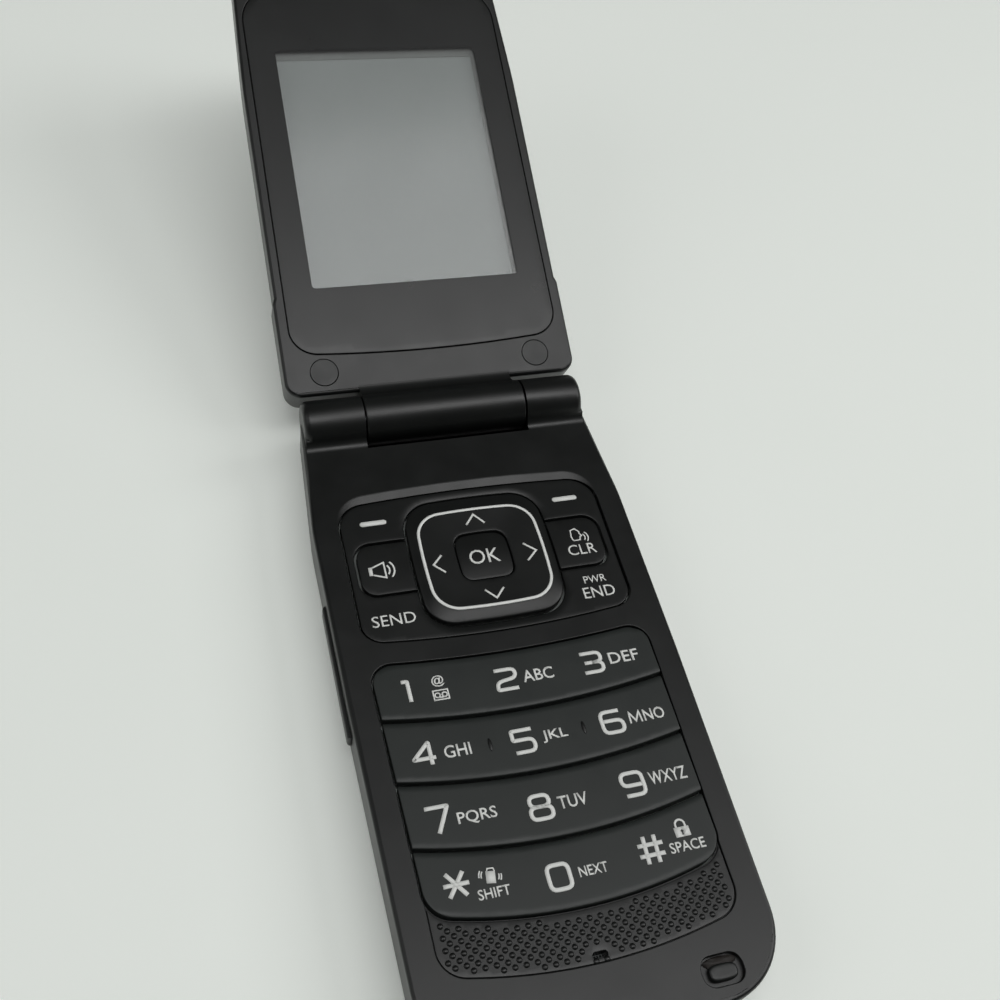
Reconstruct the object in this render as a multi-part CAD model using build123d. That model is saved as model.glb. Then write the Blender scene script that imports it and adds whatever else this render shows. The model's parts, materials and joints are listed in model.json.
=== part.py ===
"""A flip phone that lies open on its back.

Lengths are in millimetres. X runs across the phone, Y from the chin to the hinge, and Z out of the
keypad. Zero is the middle of the flat back. The lid is drawn lying flat beyond the hinge and is then
turned up to the angle at which its hinge stops.
"""
from build123d import *
from math import atan2, degrees, sqrt
import os

os.makedirs("parts", exist_ok=True)

# The two halves
base_thickness = 9.4
lid_thickness = 7.2
closing_gap = 0.95
open_angle = 158.3
hinge_y = 49.0
hinge_z = base_thickness
rest_tilt = 180 - open_angle

# Fits
running_clearance = 0.05
seat_clearance = 0.05
pilot_clearance = 0.02
stack_gap = 0.1
hair_gap = 0.02

# Limits that lie beyond every edge, for cuts that run right through
far = 120.0
across = (-far, far)

# Plan of the base, from the chin up to the hinge
base_half = 24.4
base_low_y = -48.3
foot_taper, foot_rise, base_foot_radius = 0.8, 2.9, 10.0
base_foot_half, base_foot_y = base_half - foot_taper, base_low_y + foot_rise
base_hip_y, base_hip_radius = 1.2, 300.0
shoulder_flare, shoulder_setback, base_shoulder_radius = 0.1, 19.8, 40.0
base_shoulder_half, base_shoulder_y = base_half + shoulder_flare, hinge_y - shoulder_setback
end_taper, end_run, base_end_radius = 1.5, 3.4, 3.2
base_end_half, base_end_y = base_half - end_taper, hinge_y + end_run
housing_wall = 1.3
front_wall = 1.35
face_edge_radius = 0.6
back_edge_radius = 3.0

# Plan of the lid, distances from the hinge axis
tip_setback = 0.3
lid_tip = hinge_y - base_low_y - tip_setback
tip_taper, tip_drop, lid_tip_radius = 1.7, 2.8, 10.0
lid_tip_half, lid_tip_corner = base_half - tip_taper, lid_tip - tip_drop
side_taper, lid_side_reach, lid_side_radius = 0.3, 62.0, 200.0
step_taper, lid_step_high, lid_step_low, lid_step_radius = 0.25, 22.8, 21.8, 0.6
heel_flare, lid_heel, lid_heel_radius = 0.1, 5.4, 2.6
lid_side_half, lid_step_half = base_half - side_taper, base_half - step_taper
lid_heel_half = base_half + heel_flare
lid_split_depth = 2.55
lid_wall = 1.25
lid_face_wall = 1.45
lid_back_wall = 1.05
lid_back_radius = 2.0
lid_heel_wall = 1.4

# Hinge
barrel_radius = 4.1
barrel_half = 13.1
barrel_gap = 0.25
barrel_edge_radius = 0.25
knuckle_end = base_end_half
knuckle_round = 1.1
knuckle_root = 1.6
notch_reach = 5.5
neck_root = 2.6
neck_half = 12.7
neck_depth = 4.65
neck_run = 2.2
neck_rise = 0.6
cartridge_radius = 2.8
cartridge_end = 1.5
cartridge_edge = 0.3
cam_shaft_radius = 1.2
cam_head_radius = 2.3
cam_head_flat = 1.6
cam_head_length = 4.6
cam_shaft_length = 9.0
cam_end_spare = 0.4
bush_radius = 2.4
bush_bore = 1.7
bush_start = 9.0
bush_end = 21.0

# Ribbon through the hinge
flex_width, flex_thickness, flex_slot_gap = 3.6, 0.2, 0.3
flex_roll_radius, flex_roll_wall, flex_roll_end = 1.3, 0.3, 18.5
flex_x = 16.5
flex_slot_height = 1.0
flex_plug_length, flex_plug_height, flex_plug_gap, flex_plug_inset = 2.8, 1.0, 0.5, 0.2
flex_tail_depth, flex_drop_depth, flex_tail_end = 1.3, 2.0, 8.6

# Keypad openings in the face
panel_low, panel_low_bow = 7.9, 1.35
panel_high, panel_high_bow = 33.8, 0.9
panel_margin = 3.8
panel_half = base_half - panel_margin
panel_low_radius, panel_high_radius = 3.5, 4.5
block_high, block_high_bow = 4.66, -1.2
chin_length, block_low_bow = 15.9, 2.9
block_low = base_low_y + chin_length
block_high_margin, block_low_margin = 3.65, 4.3
block_high_half, block_low_half = base_half - block_high_margin, base_half - block_low_margin
block_high_radius, block_low_radius = 3.0, 4.2
row_lines = [(-4.6, 1.65), (-13.9, 1.95), (-23.2, 2.35)]
row_line_half, row_line_spare = (block_high_half + block_low_half) / 2, 4.0
row_gap = 0.3
key_gap = 0.15
bevel_width, bevel_depth, bevel_length = 1.3, 0.45, 17.9

# Keys
key_travel, travel_spare = 0.25, 0.05
key_skirt = 0.45
row_crest, row_dip = 0.4, 0.15
row_crest_setback, row_crest_round, row_heel_drop, row_slope = 1.2, 0.16, 0.6, 0.16
marked_row, mark_x, mark_y, mark_length, mark_width, mark_rise = 1, 6.7, -9.0, 2.2, 0.6, 0.38
plate_dip = 0.3
plate_bevel_width, plate_bevel_depth, plate_bevel_side = 0.9, 0.3, 0.6
nav_y = (panel_low + panel_high) / 2
nav_margin = 2.45
nav_half_x, nav_half_y, nav_bulge, nav_radius = 10.4, (panel_high - panel_low) / 2 - nav_margin, 0.45, 4.6
nav_slope_x, nav_slope_y, nav_top_bulge, nav_top_radius = 1.6, 2.65, 0.4, 3.9
nav_top_half_x, nav_top_half_y = nav_half_x - nav_slope_x, nav_half_y - nav_slope_y
nav_rise, nav_edge_dip = 0.5, 0.15
ok_half, ok_bulge, ok_radius = 3.85, 0.2, 1.7
ok_rise, ok_edge_radius = 0.4, 0.3
side_key_margin, side_key_inner = 1.55, 8.0
side_key_outer = panel_half - side_key_margin
side_key_height, side_key_lift, side_key_radius = 8.9, 0.35, 2.4
side_key_y = nav_y + side_key_lift
side_key_rise, side_key_edge_radius = 0.05, 0.15
seat_outer_half, seat_inner_half, seat_thickness = 5.8, 4.9, 0.3
seat_outer_radius, seat_inner_radius = 2.0, 1.6

# Where the keys press
press_x, press_side_rise, press_lift = 13.4, 0.9, 0.4
corner_press_x, corner_press_inset = 15.5, 4.4
corner_press_y = (panel_low + corner_press_inset, panel_high - corner_press_inset)
side_press_x, arrow_press = 15.2, 8.0

# Chin
chin_border, chin_low_bow, chin_margin, chin_radius = 9.1, 2.6, 4.5, 4.0
chin_low, chin_half = base_low_y + chin_border, base_half - chin_margin
chin_overlap, chin_overlap_radius = 10.0, 1.0
inlay_thickness, inlay_gap, inlay_dip = 0.5, 0.08, 0.1
mic_setback, mic_slot_length, mic_slot_width = 1.0, 2.0, 0.75
mic_y = chin_low + mic_setback
mic_radius, mic_height = 2.0, 1.3
boot_radius, boot_port_radius = 2.6, 0.9
bumper_inset_x, bumper_inset_y = 9.85, 5.0
bumper_x, bumper_y = base_half - bumper_inset_x, base_low_y + bumper_inset_y
bumper_length, bumper_width, bumper_radius = 4.4, 2.4, 1.1
bumper_pocket_length, bumper_pocket_width, bumper_pocket_radius = 5.6, 3.7, 1.6
bumper_pocket_depth, bumper_rise = 0.8, 0.2

# Heights of the keypad stack, worked down from the face
face_under = base_thickness - front_wall
key_bottom = face_under - key_skirt
mat_thickness, mat_lap, mat_corner = 0.35, 0.3, 3.0
mat_half, mat_y = panel_half + mat_lap, (block_low + 2 * mat_lap, panel_high - 2 * mat_lap)
mat_high = key_bottom - key_travel - travel_spare
mat_low = mat_high - mat_thickness
board_thickness, board_depth_below_mat = 0.7, 0.65
board_high = mat_low - board_depth_below_mat
board_low = board_high - board_thickness
board_inset = 1.7
parting_depth = 0.8
parting_z = board_low - parting_depth
dome_sheet_thickness, dome_height, dome_radius = 0.1, 0.22, 1.9
plunger_radius, plunger_gap = 1.0, 0.03

# Positions along the base
notch_y = hinge_y - notch_reach
cavity_end = notch_y - housing_wall
board_margin_low, board_margin_high = 8.3, 0.7
board_y = (base_low_y + board_margin_low, cavity_end - board_margin_high)
barrel_cut = barrel_half + barrel_gap
flex_plug_y = mat_y[1] + flex_plug_gap + flex_plug_length / 2

# Battery, its bay and its cover
battery_half, battery_margin, battery_end, battery_radius = 17.0, 7.3, 9.0, 1.2
battery_y = (base_low_y + battery_margin, battery_end)
bay_clearance, bay_wall, bay_floor, bay_root = 0.2, 1.0, 0.6, 0.5
bay_ceiling = board_low - stack_gap - bay_floor
cover_wall, cover_floor = 1.0, 0.9
cover_high_z = 2.4
cover_joint, cover_step_clearance = 0.12, 0.15
battery_low = cover_floor + stack_gap
battery_high = bay_ceiling - stack_gap
grip_length, grip_width, grip_depth, grip_margin = 16.0, 5.0, 0.3, 10.3
grip_y = base_low_y + grip_margin
contacts_half, contacts_blades, contacts_blade_pitch = 5.0, 3, 3.0
contacts_blade_width, contacts_blade_z, contacts_low = 1.2, (2.6, 3.6), 1.8
contacts_gap, contacts_length = 0.15, 3.4

# Rear chamber
chamber_y = (battery_y[1] + contacts_length, cavity_end)
cover_lap = 3.6
cover_high_y = chamber_y[0] + cover_lap
chamber_floor = 1.2
side_room_low = 3.0
speaker_x, speaker_margin, speaker_radius, speaker_thickness = -10.5, 9.7, 8.0, 3.2
speaker_y = cavity_end - speaker_margin
speaker_rim, speaker_step, speaker_magnet_radius = 1.0, 0.4, 4.8
speaker_slot_length, speaker_slot_width, speaker_slot_pitch, speaker_slots = 9.0, 1.0, 2.2, 5

# Right side ports
charger_y, charger_width, charger_height, charger_depth = 24.0, 7.5, 2.6, 5.0
charger_corner, charger_back, charger_inset = 0.5, 0.6, 0.3
charger_mouth_width, charger_mouth_height = 6.6, 1.7
tongue_width, tongue_thickness, tongue_inset = 3.8, 0.6, 1.0
charger_z = board_low - charger_height / 2
flap_length, flap_height, flap_depth, flap_gap, flap_hinge_radius = 9.7, 4.1, 0.85, 0.15, 0.42
flap_low = charger_z - flap_height / 2
charger_outer = base_half - flap_depth - charger_inset
charger_inner = charger_outer - charger_depth
jack_margin, jack_nose_radius, jack_bore, jack_width = 6.2, 1.55, 1.28, 5.6
jack_length, jack_floor_gap, jack_inset, jack_nose_inset, jack_back = 5.6, 0.3, 0.8, 0.45, 0.8
jack_y, jack_z = cavity_end - jack_margin, (chamber_floor + jack_floor_gap + board_low) / 2
jack_outer = base_half - housing_wall - jack_inset
jack_inner = jack_outer - jack_length

# Shield can and antenna
shield_left, shield_margin, shield_height, shield_wall, shield_corner = 18.0, 2.25, 2.4, 0.2, 0.6
shield_clearance = 1.1
shield_x = (-shield_left, charger_inner - shield_margin)
shield_y = (chamber_y[0] + shield_clearance, speaker_y - speaker_radius - shield_clearance)
antenna_left, antenna_low_y, antenna_margin = 2.0, 27.0, 1.2
antenna_x, antenna_y = (antenna_left, jack_inner - stack_gap), (antenna_low_y, cavity_end - antenna_margin)
antenna_low, antenna_wall, antenna_corner = chamber_floor + 2 * stack_gap, 0.8, 1.5

# Volume rocker on the left side
rocker_y, rocker_length, rocker_height, rocker_drop = 7.25, 20.9, 2.5, 0.65
rocker_low = parting_z - rocker_drop
rocker_high = rocker_low + rocker_height
rocker_stand, rocker_slot_gap, rocker_edge_radius = 0.55, 0.15, 0.5
rocker_flange_lip, rocker_flange_rise, rocker_flange_thickness = 0.9, 0.4, 0.5
rocker_flange_gap, rocker_root = 0.38, 0.2
switch_gap, switch_height, switch_spread, switch_size = 0.35, 0.3, 5.8, (3.2, 1.9)
pivot_sink = 0.05
pivot_radius = (switch_gap + switch_height - hair_gap + pivot_sink) / 2
flange_outer = base_half - housing_wall - rocker_flange_gap
flange_inner = flange_outer - rocker_flange_thickness
switch_board_thickness, switch_board_size = 0.3, (18.4, 3.4)
board_relief, board_relief_spare = 1.9, 1.5

# Screws
screw_radius, screw_hole_gap, screw_head_radius, screw_head_height = 0.8, 0.15, 1.5, 0.8
pilot_radius, pilot_spare = screw_radius + pilot_clearance, 0.3
low_screw_x, low_screw_margin, low_screw_head_z, low_screw_grip = 11.0, 4.1, 1.6, 0.3
low_screw_y, low_screw_tip_z = base_low_y + low_screw_margin, board_high + low_screw_grip
high_screw_inset, high_screw_setback, high_screw_head_z, high_screw_grip = 3.5, 1.6, 0.5, 1.1
high_screw_x, high_screw_y = base_end_half - high_screw_inset, hinge_y - high_screw_setback
high_screw_tip_z = parting_z + high_screw_grip
boss_radius = 1.9
lid_screw_inset, lid_screw_reach = 6.57, 9.17
lid_screw_x = lid_heel_half - lid_screw_inset
lid_screw_head_depth, lid_screw_end = 1.5, 1.3
lid_screw_tip_depth = lid_thickness - lid_screw_end
cap_radius, cap_thickness, cap_gap, cap_wall, cap_wall_root = 2.2, 0.6, 0.06, 0.7, 0.5

# Lid contents: reaches from the hinge axis, and depths below the lid's inner face
lens_low, lens_low_bow, lens_margin = 11.67, 1.1, 1.5
lens_tip_margin, lens_high_bow, lens_taper = 15.7, 1.0, 0.3
lens_half, lens_high = lid_side_half - lens_margin, lid_tip - lens_tip_margin
lens_high_half = lens_half - lens_taper
lens_low_radius, lens_high_radius = 4.5, 7.0
lens_thickness, lens_bed, lens_gap = 0.8, 0.05, 0.1
window_half, window_reach = 18.6, (23.0, 69.2)
module_half, module_reach, module_depth = 19.3, (21.6, 71.6), (1.5, 3.4)
frame_gap, frame_wall, frame_back, frame_drop = 0.1, 0.6, 0.2, 0.3
lid_board_half, lid_board_low, lid_board_margin, lid_board_inset = 20.2, 14.0, 6.0, 0.5
lid_board_reach = (lid_board_low, lid_tip - lid_board_margin)
lid_board_depth, lid_board_thickness = module_depth[1] + frame_drop + stack_gap, 0.6
lid_board_back = lid_board_depth + lid_board_thickness
receiver_margin, receiver_half, receiver_length = 9.0, 6.0, 5.6
receiver_reach = lid_tip - receiver_margin
receiver_depth, receiver_corner, receiver_port_depth = (1.75, 3.75), 1.2, 0.3
earpiece_slot_length, earpiece_slot_width = 9.0, 1.3
mesh_length, mesh_width, mesh_thickness, mesh_gap, mesh_lift = 10.4, 2.5, 0.25, 0.05, 0.25
motor_x, motor_gap, motor_radius, motor_depth, motor_edge = -14.0, 2.4, 4.5, (1.55, 3.7), 0.3
motor_reach = module_reach[1] + motor_gap + motor_radius
magnet_x, magnet_margin, magnet_size, magnet_depth = 16.0, 12.0, (3.0, 5.0), (1.5, 3.2)
magnet_reach = lid_tip - magnet_margin
sensor_size, sensor_height = (2.0, 1.6), 0.6
connector_x, connector_reach, connector_depth, connector_lip = 6.0, (15.0, 18.0), (2.15, 3.75), 0.2
camera_margin, camera_half, camera_nose_gap = 16.0, 3.5, 0.2
camera_reach = lid_tip - camera_margin
camera_window_radius, camera_window_thickness, camera_hole_radius = 3.6, 0.7, 2.4
outer_lens_half, outer_lens_length, outer_lens_margin = 13.5, 21.0, 10.0
outer_lens_radius, outer_lens_thickness = 2.5, 0.8
outer_lens_reach = (camera_reach - outer_lens_margin - outer_lens_length, camera_reach - outer_lens_margin)
outer_display_inset, outer_display_gap = 2.0, 0.15
outer_display_half = outer_lens_half - outer_display_inset
outer_display_reach = (outer_lens_reach[0] + outer_display_inset, outer_lens_reach[1] - outer_display_inset)
back_parts_depth = (lid_board_back + stack_gap / 2, lid_thickness - lid_back_wall - stack_gap / 2)


def slab(plan, low, high):
    """A plate of the given plan between two heights."""
    return Pos(0, 0, low) * extrude(plan, amount=high - low)


def block(x_span, y_span, z_span):
    """A box between pairs of limits, given in any order."""
    spans = (x_span, y_span, z_span)
    middle = [(a + b) / 2 for a, b in spans]
    size = [abs(b - a) for a, b in spans]
    return Pos(*middle) * Box(*size)


def about(middle, length):
    """The limits of a length about its middle."""
    return (middle - length / 2, middle + length / 2)


def rod_x(radius, x_span, y, z):
    """A round bar along X."""
    length = abs(x_span[1] - x_span[0])
    return Pos((x_span[0] + x_span[1]) / 2, y, z) * Rot(0, 90, 0) * Cylinder(radius, length)


def rod_z(radius, x, y, z_span):
    """A round bar along Z."""
    length = abs(z_span[1] - z_span[0])
    return Pos(x, y, (z_span[0] + z_span[1]) / 2) * Cylinder(radius, length)


def both_sides(piece):
    """A piece and its mirror image on the other side of the phone."""
    return piece + mirror(piece, Plane.YZ)


def vertices_at(plan, x, y):
    """The corners of a plan at a point and at its mirror image."""
    return [v for v in plan.vertices() if abs(abs(v.X) - x) < 1e-4 and abs(v.Y - y) < 1e-4]


def housing_plan(end_y, corners):
    """A mirrored plan with one bowed end. Each corner is half width, y and radius, from that end."""
    right = [(half, y) for half, y, radius in corners]
    left = [(-half, y) for half, y in reversed(right)]
    bow = ThreePointArc(left[-1], (0, end_y), right[0])
    plan = make_face([bow] + Polyline(*right, *left).edges())
    for half, y, radius in corners:
        plan = fillet(vertices_at(plan, half, y), radius)
    return plan


def bowed_edge(start, end, bow):
    """A straight edge, or an arc that bows out by the given amount to its right."""
    if abs(bow) < 1e-6:
        return Line(start, end)
    middle = (Vector(*start) + Vector(*end)) / 2
    along = (Vector(*end) - Vector(*start)).normalized()
    return ThreePointArc(start, (middle.X + along.Y * bow, middle.Y - along.X * bow), end)


def pad_plan(low, high, low_half, high_half, bows, radii):
    """A four-sided plan with bowed edges. Low and high are where it crosses the centre line.

    Bows are those of the low end, the high end and the sides; radii are those of the low and high corners.
    """
    low_bow, high_bow, side_bow = bows
    low_y, high_y = low + low_bow, high - high_bow
    corners = [(-low_half, low_y), (low_half, low_y), (high_half, high_y), (-high_half, high_y)]
    edges = [bowed_edge(corners[i], corners[(i + 1) % 4], bow)
             for i, bow in enumerate((low_bow, side_bow, high_bow, side_bow))]
    plan = make_face(edges)
    plan = fillet(vertices_at(plan, low_half, low_y), radii[0])
    return fillet(vertices_at(plan, high_half, high_y), radii[1])


def below_line(y, bow):
    """The plan of all that lies below one of the curved lines between key rows."""
    half = row_line_half + row_line_spare
    end_y = y + bow * half ** 2 / row_line_half ** 2
    line = ThreePointArc((-half, end_y), (0, y), (half, end_y))
    rest = Polyline((half, end_y), (half, -far), (-half, -far), (-half, end_y))
    return make_face([line] + rest.edges())


def bow_radius(half, bow):
    """The radius of an arc from its half chord and its bow."""
    return (half ** 2 + bow ** 2) / (2 * bow)


def nav_plan(half_x, half_y, bulge, radius):
    """A rounded square with bulging sides about the middle of the navigation key."""
    plan = pad_plan(-half_y - bulge, half_y + bulge, half_x, half_x, (bulge, bulge, bulge), (radius, radius))
    return Pos(0, nav_y) * plan


base_plan = housing_plan(base_low_y, [
    (base_foot_half, base_foot_y, base_foot_radius),
    (base_half, base_hip_y, base_hip_radius),
    (base_shoulder_half, base_shoulder_y, base_shoulder_radius),
    (base_end_half, base_end_y, base_end_radius)])
base_room = offset(base_plan, -housing_wall)
panel_plan = pad_plan(panel_low, panel_high, panel_half, panel_half,
                      (panel_low_bow, panel_high_bow, 0), (panel_low_radius, panel_high_radius))
block_plan = pad_plan(block_low, block_high, block_low_half, block_high_half,
                      (block_low_bow, block_high_bow, 0), (block_low_radius, block_high_radius))
chin_plan = pad_plan(chin_low, block_low + chin_overlap, chin_half, chin_half,
                     (chin_low_bow, 0, 0), (chin_radius, chin_overlap_radius))
collar_plan = nav_plan(nav_half_x, nav_half_y, nav_bulge, nav_radius)
collar_room = nav_plan(nav_half_x + key_gap, nav_half_y + key_gap, nav_bulge, nav_radius + key_gap)
ok_plan = nav_plan(ok_half, ok_half, ok_bulge, ok_radius)


def side_key_pad(side, grow):
    """The rounded plan of a side key before the navigation key takes its inner end away."""
    middle_x = side * (side_key_outer + side_key_inner) / 2
    width, height = side_key_outer - side_key_inner + 2 * grow, side_key_height + 2 * grow
    return Pos(middle_x, side_key_y) * RectangleRounded(width, height, side_key_radius + grow)


def side_key_plan(side):
    """The plan of the speaker key at the left and the clear key at the right."""
    return side_key_pad(side, 0) - collar_room


def mic_slot():
    """The hole over the microphone, through the face and the chin inlay."""
    return Pos(0, mic_y) * slab(SlotOverall(mic_slot_length, mic_slot_width), key_bottom, far)


def base_shell(inset, low, edge_radius):
    """The solid rear form of the base, shrunk all round, with its back edge rounded."""
    plan = offset(base_plan, -inset) if inset else base_plan
    solid = slab(plan, low, parting_z)
    return fillet(solid.faces().sort_by(Axis.Z)[0].edges(), edge_radius)


def screw(x, y, head_z, tip_z):
    """A pan head screw whose head looks down."""
    shank = rod_z(screw_radius, x, y, (head_z + screw_head_height, tip_z))
    return shank + rod_z(screw_head_radius, x, y, (head_z, head_z + screw_head_height))


def key_centres():
    """Where each key presses, for the domes and the plungers above them."""
    lines = [block_high] + [y for y, bow in row_lines] + [block_low]
    rows = [(a + b) / 2 + press_lift for a, b in zip(lines, lines[1:])]
    digits = [(x, y + press_side_rise * (x != 0)) for y in rows for x in (-press_x, 0, press_x)]
    corners = [(side * corner_press_x, y) for side in (-1, 1) for y in corner_press_y]
    sides = [(side * side_press_x, side_key_y) for side in (-1, 1)]
    arrows = [(arrow_press, nav_y), (-arrow_press, nav_y), (0, nav_y + arrow_press), (0, nav_y - arrow_press)]
    return digits + corners + sides + arrows + [(0, nav_y)]


# Base: front housing
def knuckle():
    """The right end knuckle of the hinge with the scooped root that blends it into the face."""
    barrel = rod_x(barrel_radius, (barrel_cut, knuckle_end), hinge_y, hinge_z)
    outer = barrel.edges().filter_by(GeomType.CIRCLE).sort_by(Axis.X)[-1]
    barrel = fillet(outer, knuckle_round)
    reach_y = sqrt((barrel_radius + knuckle_root) ** 2 - knuckle_root ** 2)
    touch_z = hinge_z + knuckle_root * barrel_radius / (barrel_radius + knuckle_root)
    root_low = hinge_z - face_edge_radius
    root = block((barrel_cut, knuckle_end), (hinge_y - reach_y, hinge_y), (root_low, touch_z))
    root -= rod_x(knuckle_root, (0, far), hinge_y - reach_y, hinge_z + knuckle_root)
    return barrel + (root & slab(base_plan, root_low, touch_z))


def front_housing():
    shell = slab(base_plan, parting_z, base_thickness)
    shell = fillet(shell.faces().sort_by(Axis.Z)[-1].edges(), face_edge_radius)
    shell += both_sides(knuckle())
    shell -= slab(base_room, parting_z, face_under) & block(across, (-far, cavity_end), (0, far))
    shell -= block((-barrel_cut, barrel_cut), (notch_y, far), (0, far))
    shell -= slab(panel_plan, 0, far) + slab(block_plan, 0, far)
    bevel_half = panel_half - bevel_width
    bevel_plan = pad_plan(panel_high - bevel_length, panel_high, bevel_half, bevel_half,
                          (0, panel_high_bow, 0), (1, panel_high_radius - 1))
    flare = degrees(atan2(bevel_width, bevel_depth))
    shell -= Pos(0, 0, base_thickness - bevel_depth) * extrude(bevel_plan, amount=bevel_depth, taper=-flare)
    shell -= slab(chin_plan, base_thickness - inlay_thickness, far)
    shell -= mic_slot()
    pocket = RectangleRounded(bumper_pocket_length, bumper_pocket_width, bumper_pocket_radius)
    pocket = Pos(bumper_x, bumper_y) * slab(pocket, base_thickness - bumper_pocket_depth, far)
    boss = rod_z(boss_radius, low_screw_x, low_screw_y, (parting_z, face_under)) & slab(base_plan, 0, far)
    low_pilot = rod_z(pilot_radius, low_screw_x, low_screw_y, (0, low_screw_tip_z + pilot_spare))
    high_pilot = rod_z(pilot_radius, high_screw_x, high_screw_y, (0, high_screw_tip_z + pilot_spare))
    shell += both_sides(boss)
    shell -= both_sides(pocket) + both_sides(low_pilot) + both_sides(high_pilot)
    shell -= cam_head(seat_clearance, cam_end_spare)
    shell -= rod_x(bush_radius, (0, bush_end + stack_gap), hinge_y, hinge_z)
    return shell - flex_slot() - rocker_slot() - charger_opening() - jack_hole()


def flex_slot():
    """The slot by which the ribbon comes out of the right knuckle into the base."""
    low = board_high + flex_plug_height - 2 * stack_gap
    span = about(flex_x, flex_width + 2 * flex_slot_gap)
    return block(span, (cavity_end - 1, hinge_y), (low, low + flex_slot_height))


def cam_head(gap, extra):
    """The flat-sided head of the cam shaft, or with a gap the socket in which it is held."""
    start = -barrel_cut
    span = (start - cam_head_length - extra, start + extra)
    flat = cam_head_flat + gap
    head = rod_x(cam_head_radius + gap, span, hinge_y, hinge_z)
    return head & block(across, across, (hinge_z - flat, hinge_z + flat))


def rocker_slot():
    """The slot in the left wall for the volume rocker."""
    y_span = about(rocker_y, rocker_length + 2 * rocker_slot_gap)
    z_span = (rocker_low - rocker_slot_gap, rocker_high + rocker_slot_gap)
    return block((-far, -base_half + housing_wall + rocker_flange_thickness), y_span, z_span)


def charger_opening():
    """The mouth of the charging socket and the shallow recess for its flap."""
    mouth = block((charger_inner, far), about(charger_y, charger_width + 2 * stack_gap),
                  (board_low - charger_height - stack_gap, board_low))
    recess_x = base_half - flap_depth - flap_gap / 2
    z_span = (flap_low - flap_gap, flap_low + flap_height + flap_gap)
    return mouth + block((recess_x, far), about(charger_y, flap_length + 2 * flap_gap), z_span)


def jack_hole():
    """The round hole for the nose of the headset jack."""
    return rod_x(jack_nose_radius + seat_clearance, (jack_inner, far), jack_y, jack_z)


# Base: rear housing and battery cover
def rear_housing():
    shell = base_shell(0, 0, back_edge_radius)
    seat = base_shell(cover_wall + cover_step_clearance, cover_floor + cover_step_clearance,
                      back_edge_radius - cover_floor)
    shell -= block(across, (-far, cover_high_y + cover_joint), (-1, cover_high_z + cover_joint))
    shell += seat & block(across, (-far, cover_high_y), (0, parting_z))
    floor_half = battery_half + bay_clearance + bay_wall
    bay_low, bay_high = battery_y[0] - bay_clearance, battery_y[1] + bay_clearance
    chamber = slab(base_room, chamber_floor, far) & block(across, chamber_y, (0, far))
    side_room = block((floor_half, far), (bay_low + side_room_low, chamber_y[0] + housing_wall),
                      (cover_high_z + cover_wall, far))
    shell -= chamber + (slab(base_room, 0, far) & both_sides(side_room))
    shell += block((-floor_half, floor_half), (bay_low - bay_wall, bay_high + bay_wall),
                   (parting_z - bay_root, bay_ceiling + bay_floor))
    bay = battery_half + bay_clearance
    shell -= block((-bay, bay), (bay_low, bay_high), (-1, bay_ceiling))
    shell -= block(about(0, 2 * (contacts_half + bay_clearance)), (bay_high - 1, chamber_y[0] + 1),
                   (contacts_low - bay_clearance, bay_ceiling))
    for i in range(speaker_slots):
        y = speaker_y + (i - (speaker_slots - 1) / 2) * speaker_slot_pitch
        slot = Pos(speaker_x, y) * SlotOverall(speaker_slot_length, speaker_slot_width)
        shell -= slab(slot, -1, chamber_floor + 1)
    hole, head = screw_radius + screw_hole_gap, screw_head_radius + screw_hole_gap
    low = rod_z(hole, low_screw_x, low_screw_y, (-1, far))
    low += rod_z(head, low_screw_x, low_screw_y, (-1, low_screw_head_z + screw_head_height))
    high = rod_z(hole, high_screw_x, high_screw_y, (-1, far))
    high += rod_z(head, high_screw_x, high_screw_y, (-1, high_screw_head_z + screw_head_height))
    shell -= both_sides(low) + both_sides(high)
    return shell - rocker_slot() - charger_opening() - jack_hole()


def battery_cover():
    skin = base_shell(0, 0, back_edge_radius)
    hollow = base_shell(cover_wall, cover_floor, back_edge_radius - cover_floor)
    cover = (skin - hollow) & block(across, (-far, cover_high_y), (-1, cover_high_z))
    grip = Pos(0, grip_y) * SlotOverall(grip_length, grip_width)
    return cover - slab(grip, -1, grip_depth)


def battery_pack():
    case = block((-battery_half, battery_half), battery_y, (battery_low, battery_high))
    return fillet(case.edges().filter_by(Axis.Z), battery_radius)


def battery_contacts():
    front = battery_y[1] + bay_clearance + contacts_gap
    body = block((-contacts_half, contacts_half), (front, chamber_y[0] - stack_gap),
                 (contacts_low, bay_ceiling - stack_gap))
    for i in range(contacts_blades):
        x = (i - (contacts_blades - 1) / 2) * contacts_blade_pitch
        y_span = (battery_y[1] + hair_gap, front + bay_clearance)
        body += block(about(x, contacts_blade_width), y_span, contacts_blade_z)
    return body


# Base: what the housings hold
def main_board():
    board = slab(offset(base_plan, -board_inset), board_low, board_high) & block(across, board_y, (0, far))
    edge = -base_half + housing_wall + board_relief
    relief_length = rocker_length + 2 * (rocker_flange_lip + board_relief_spare)
    return board - block((-far, edge), about(rocker_y, relief_length), (0, far))


def dome_sheet():
    sheet = block((-mat_half, mat_half), mat_y, (board_high, board_high + dome_sheet_thickness))
    for x, y in key_centres():
        middle = board_high + dome_sheet_thickness + dome_height / 2
        sheet += Pos(x, y, middle) * Cone(dome_radius, dome_radius / 2, dome_height)
    return sheet


def keypad_rubber():
    width, length = 2 * mat_half, mat_y[1] - mat_y[0]
    plan = Pos(0, (mat_y[0] + mat_y[1]) / 2) * RectangleRounded(width, length, mat_corner)
    mat = slab(plan, mat_low, mat_high)
    plunger_low = board_high + dome_sheet_thickness + dome_height + plunger_gap
    for x, y in key_centres():
        mat += rod_z(plunger_radius, x, y, (plunger_low, mat_low + mat_thickness / 2))
    return mat


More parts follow.
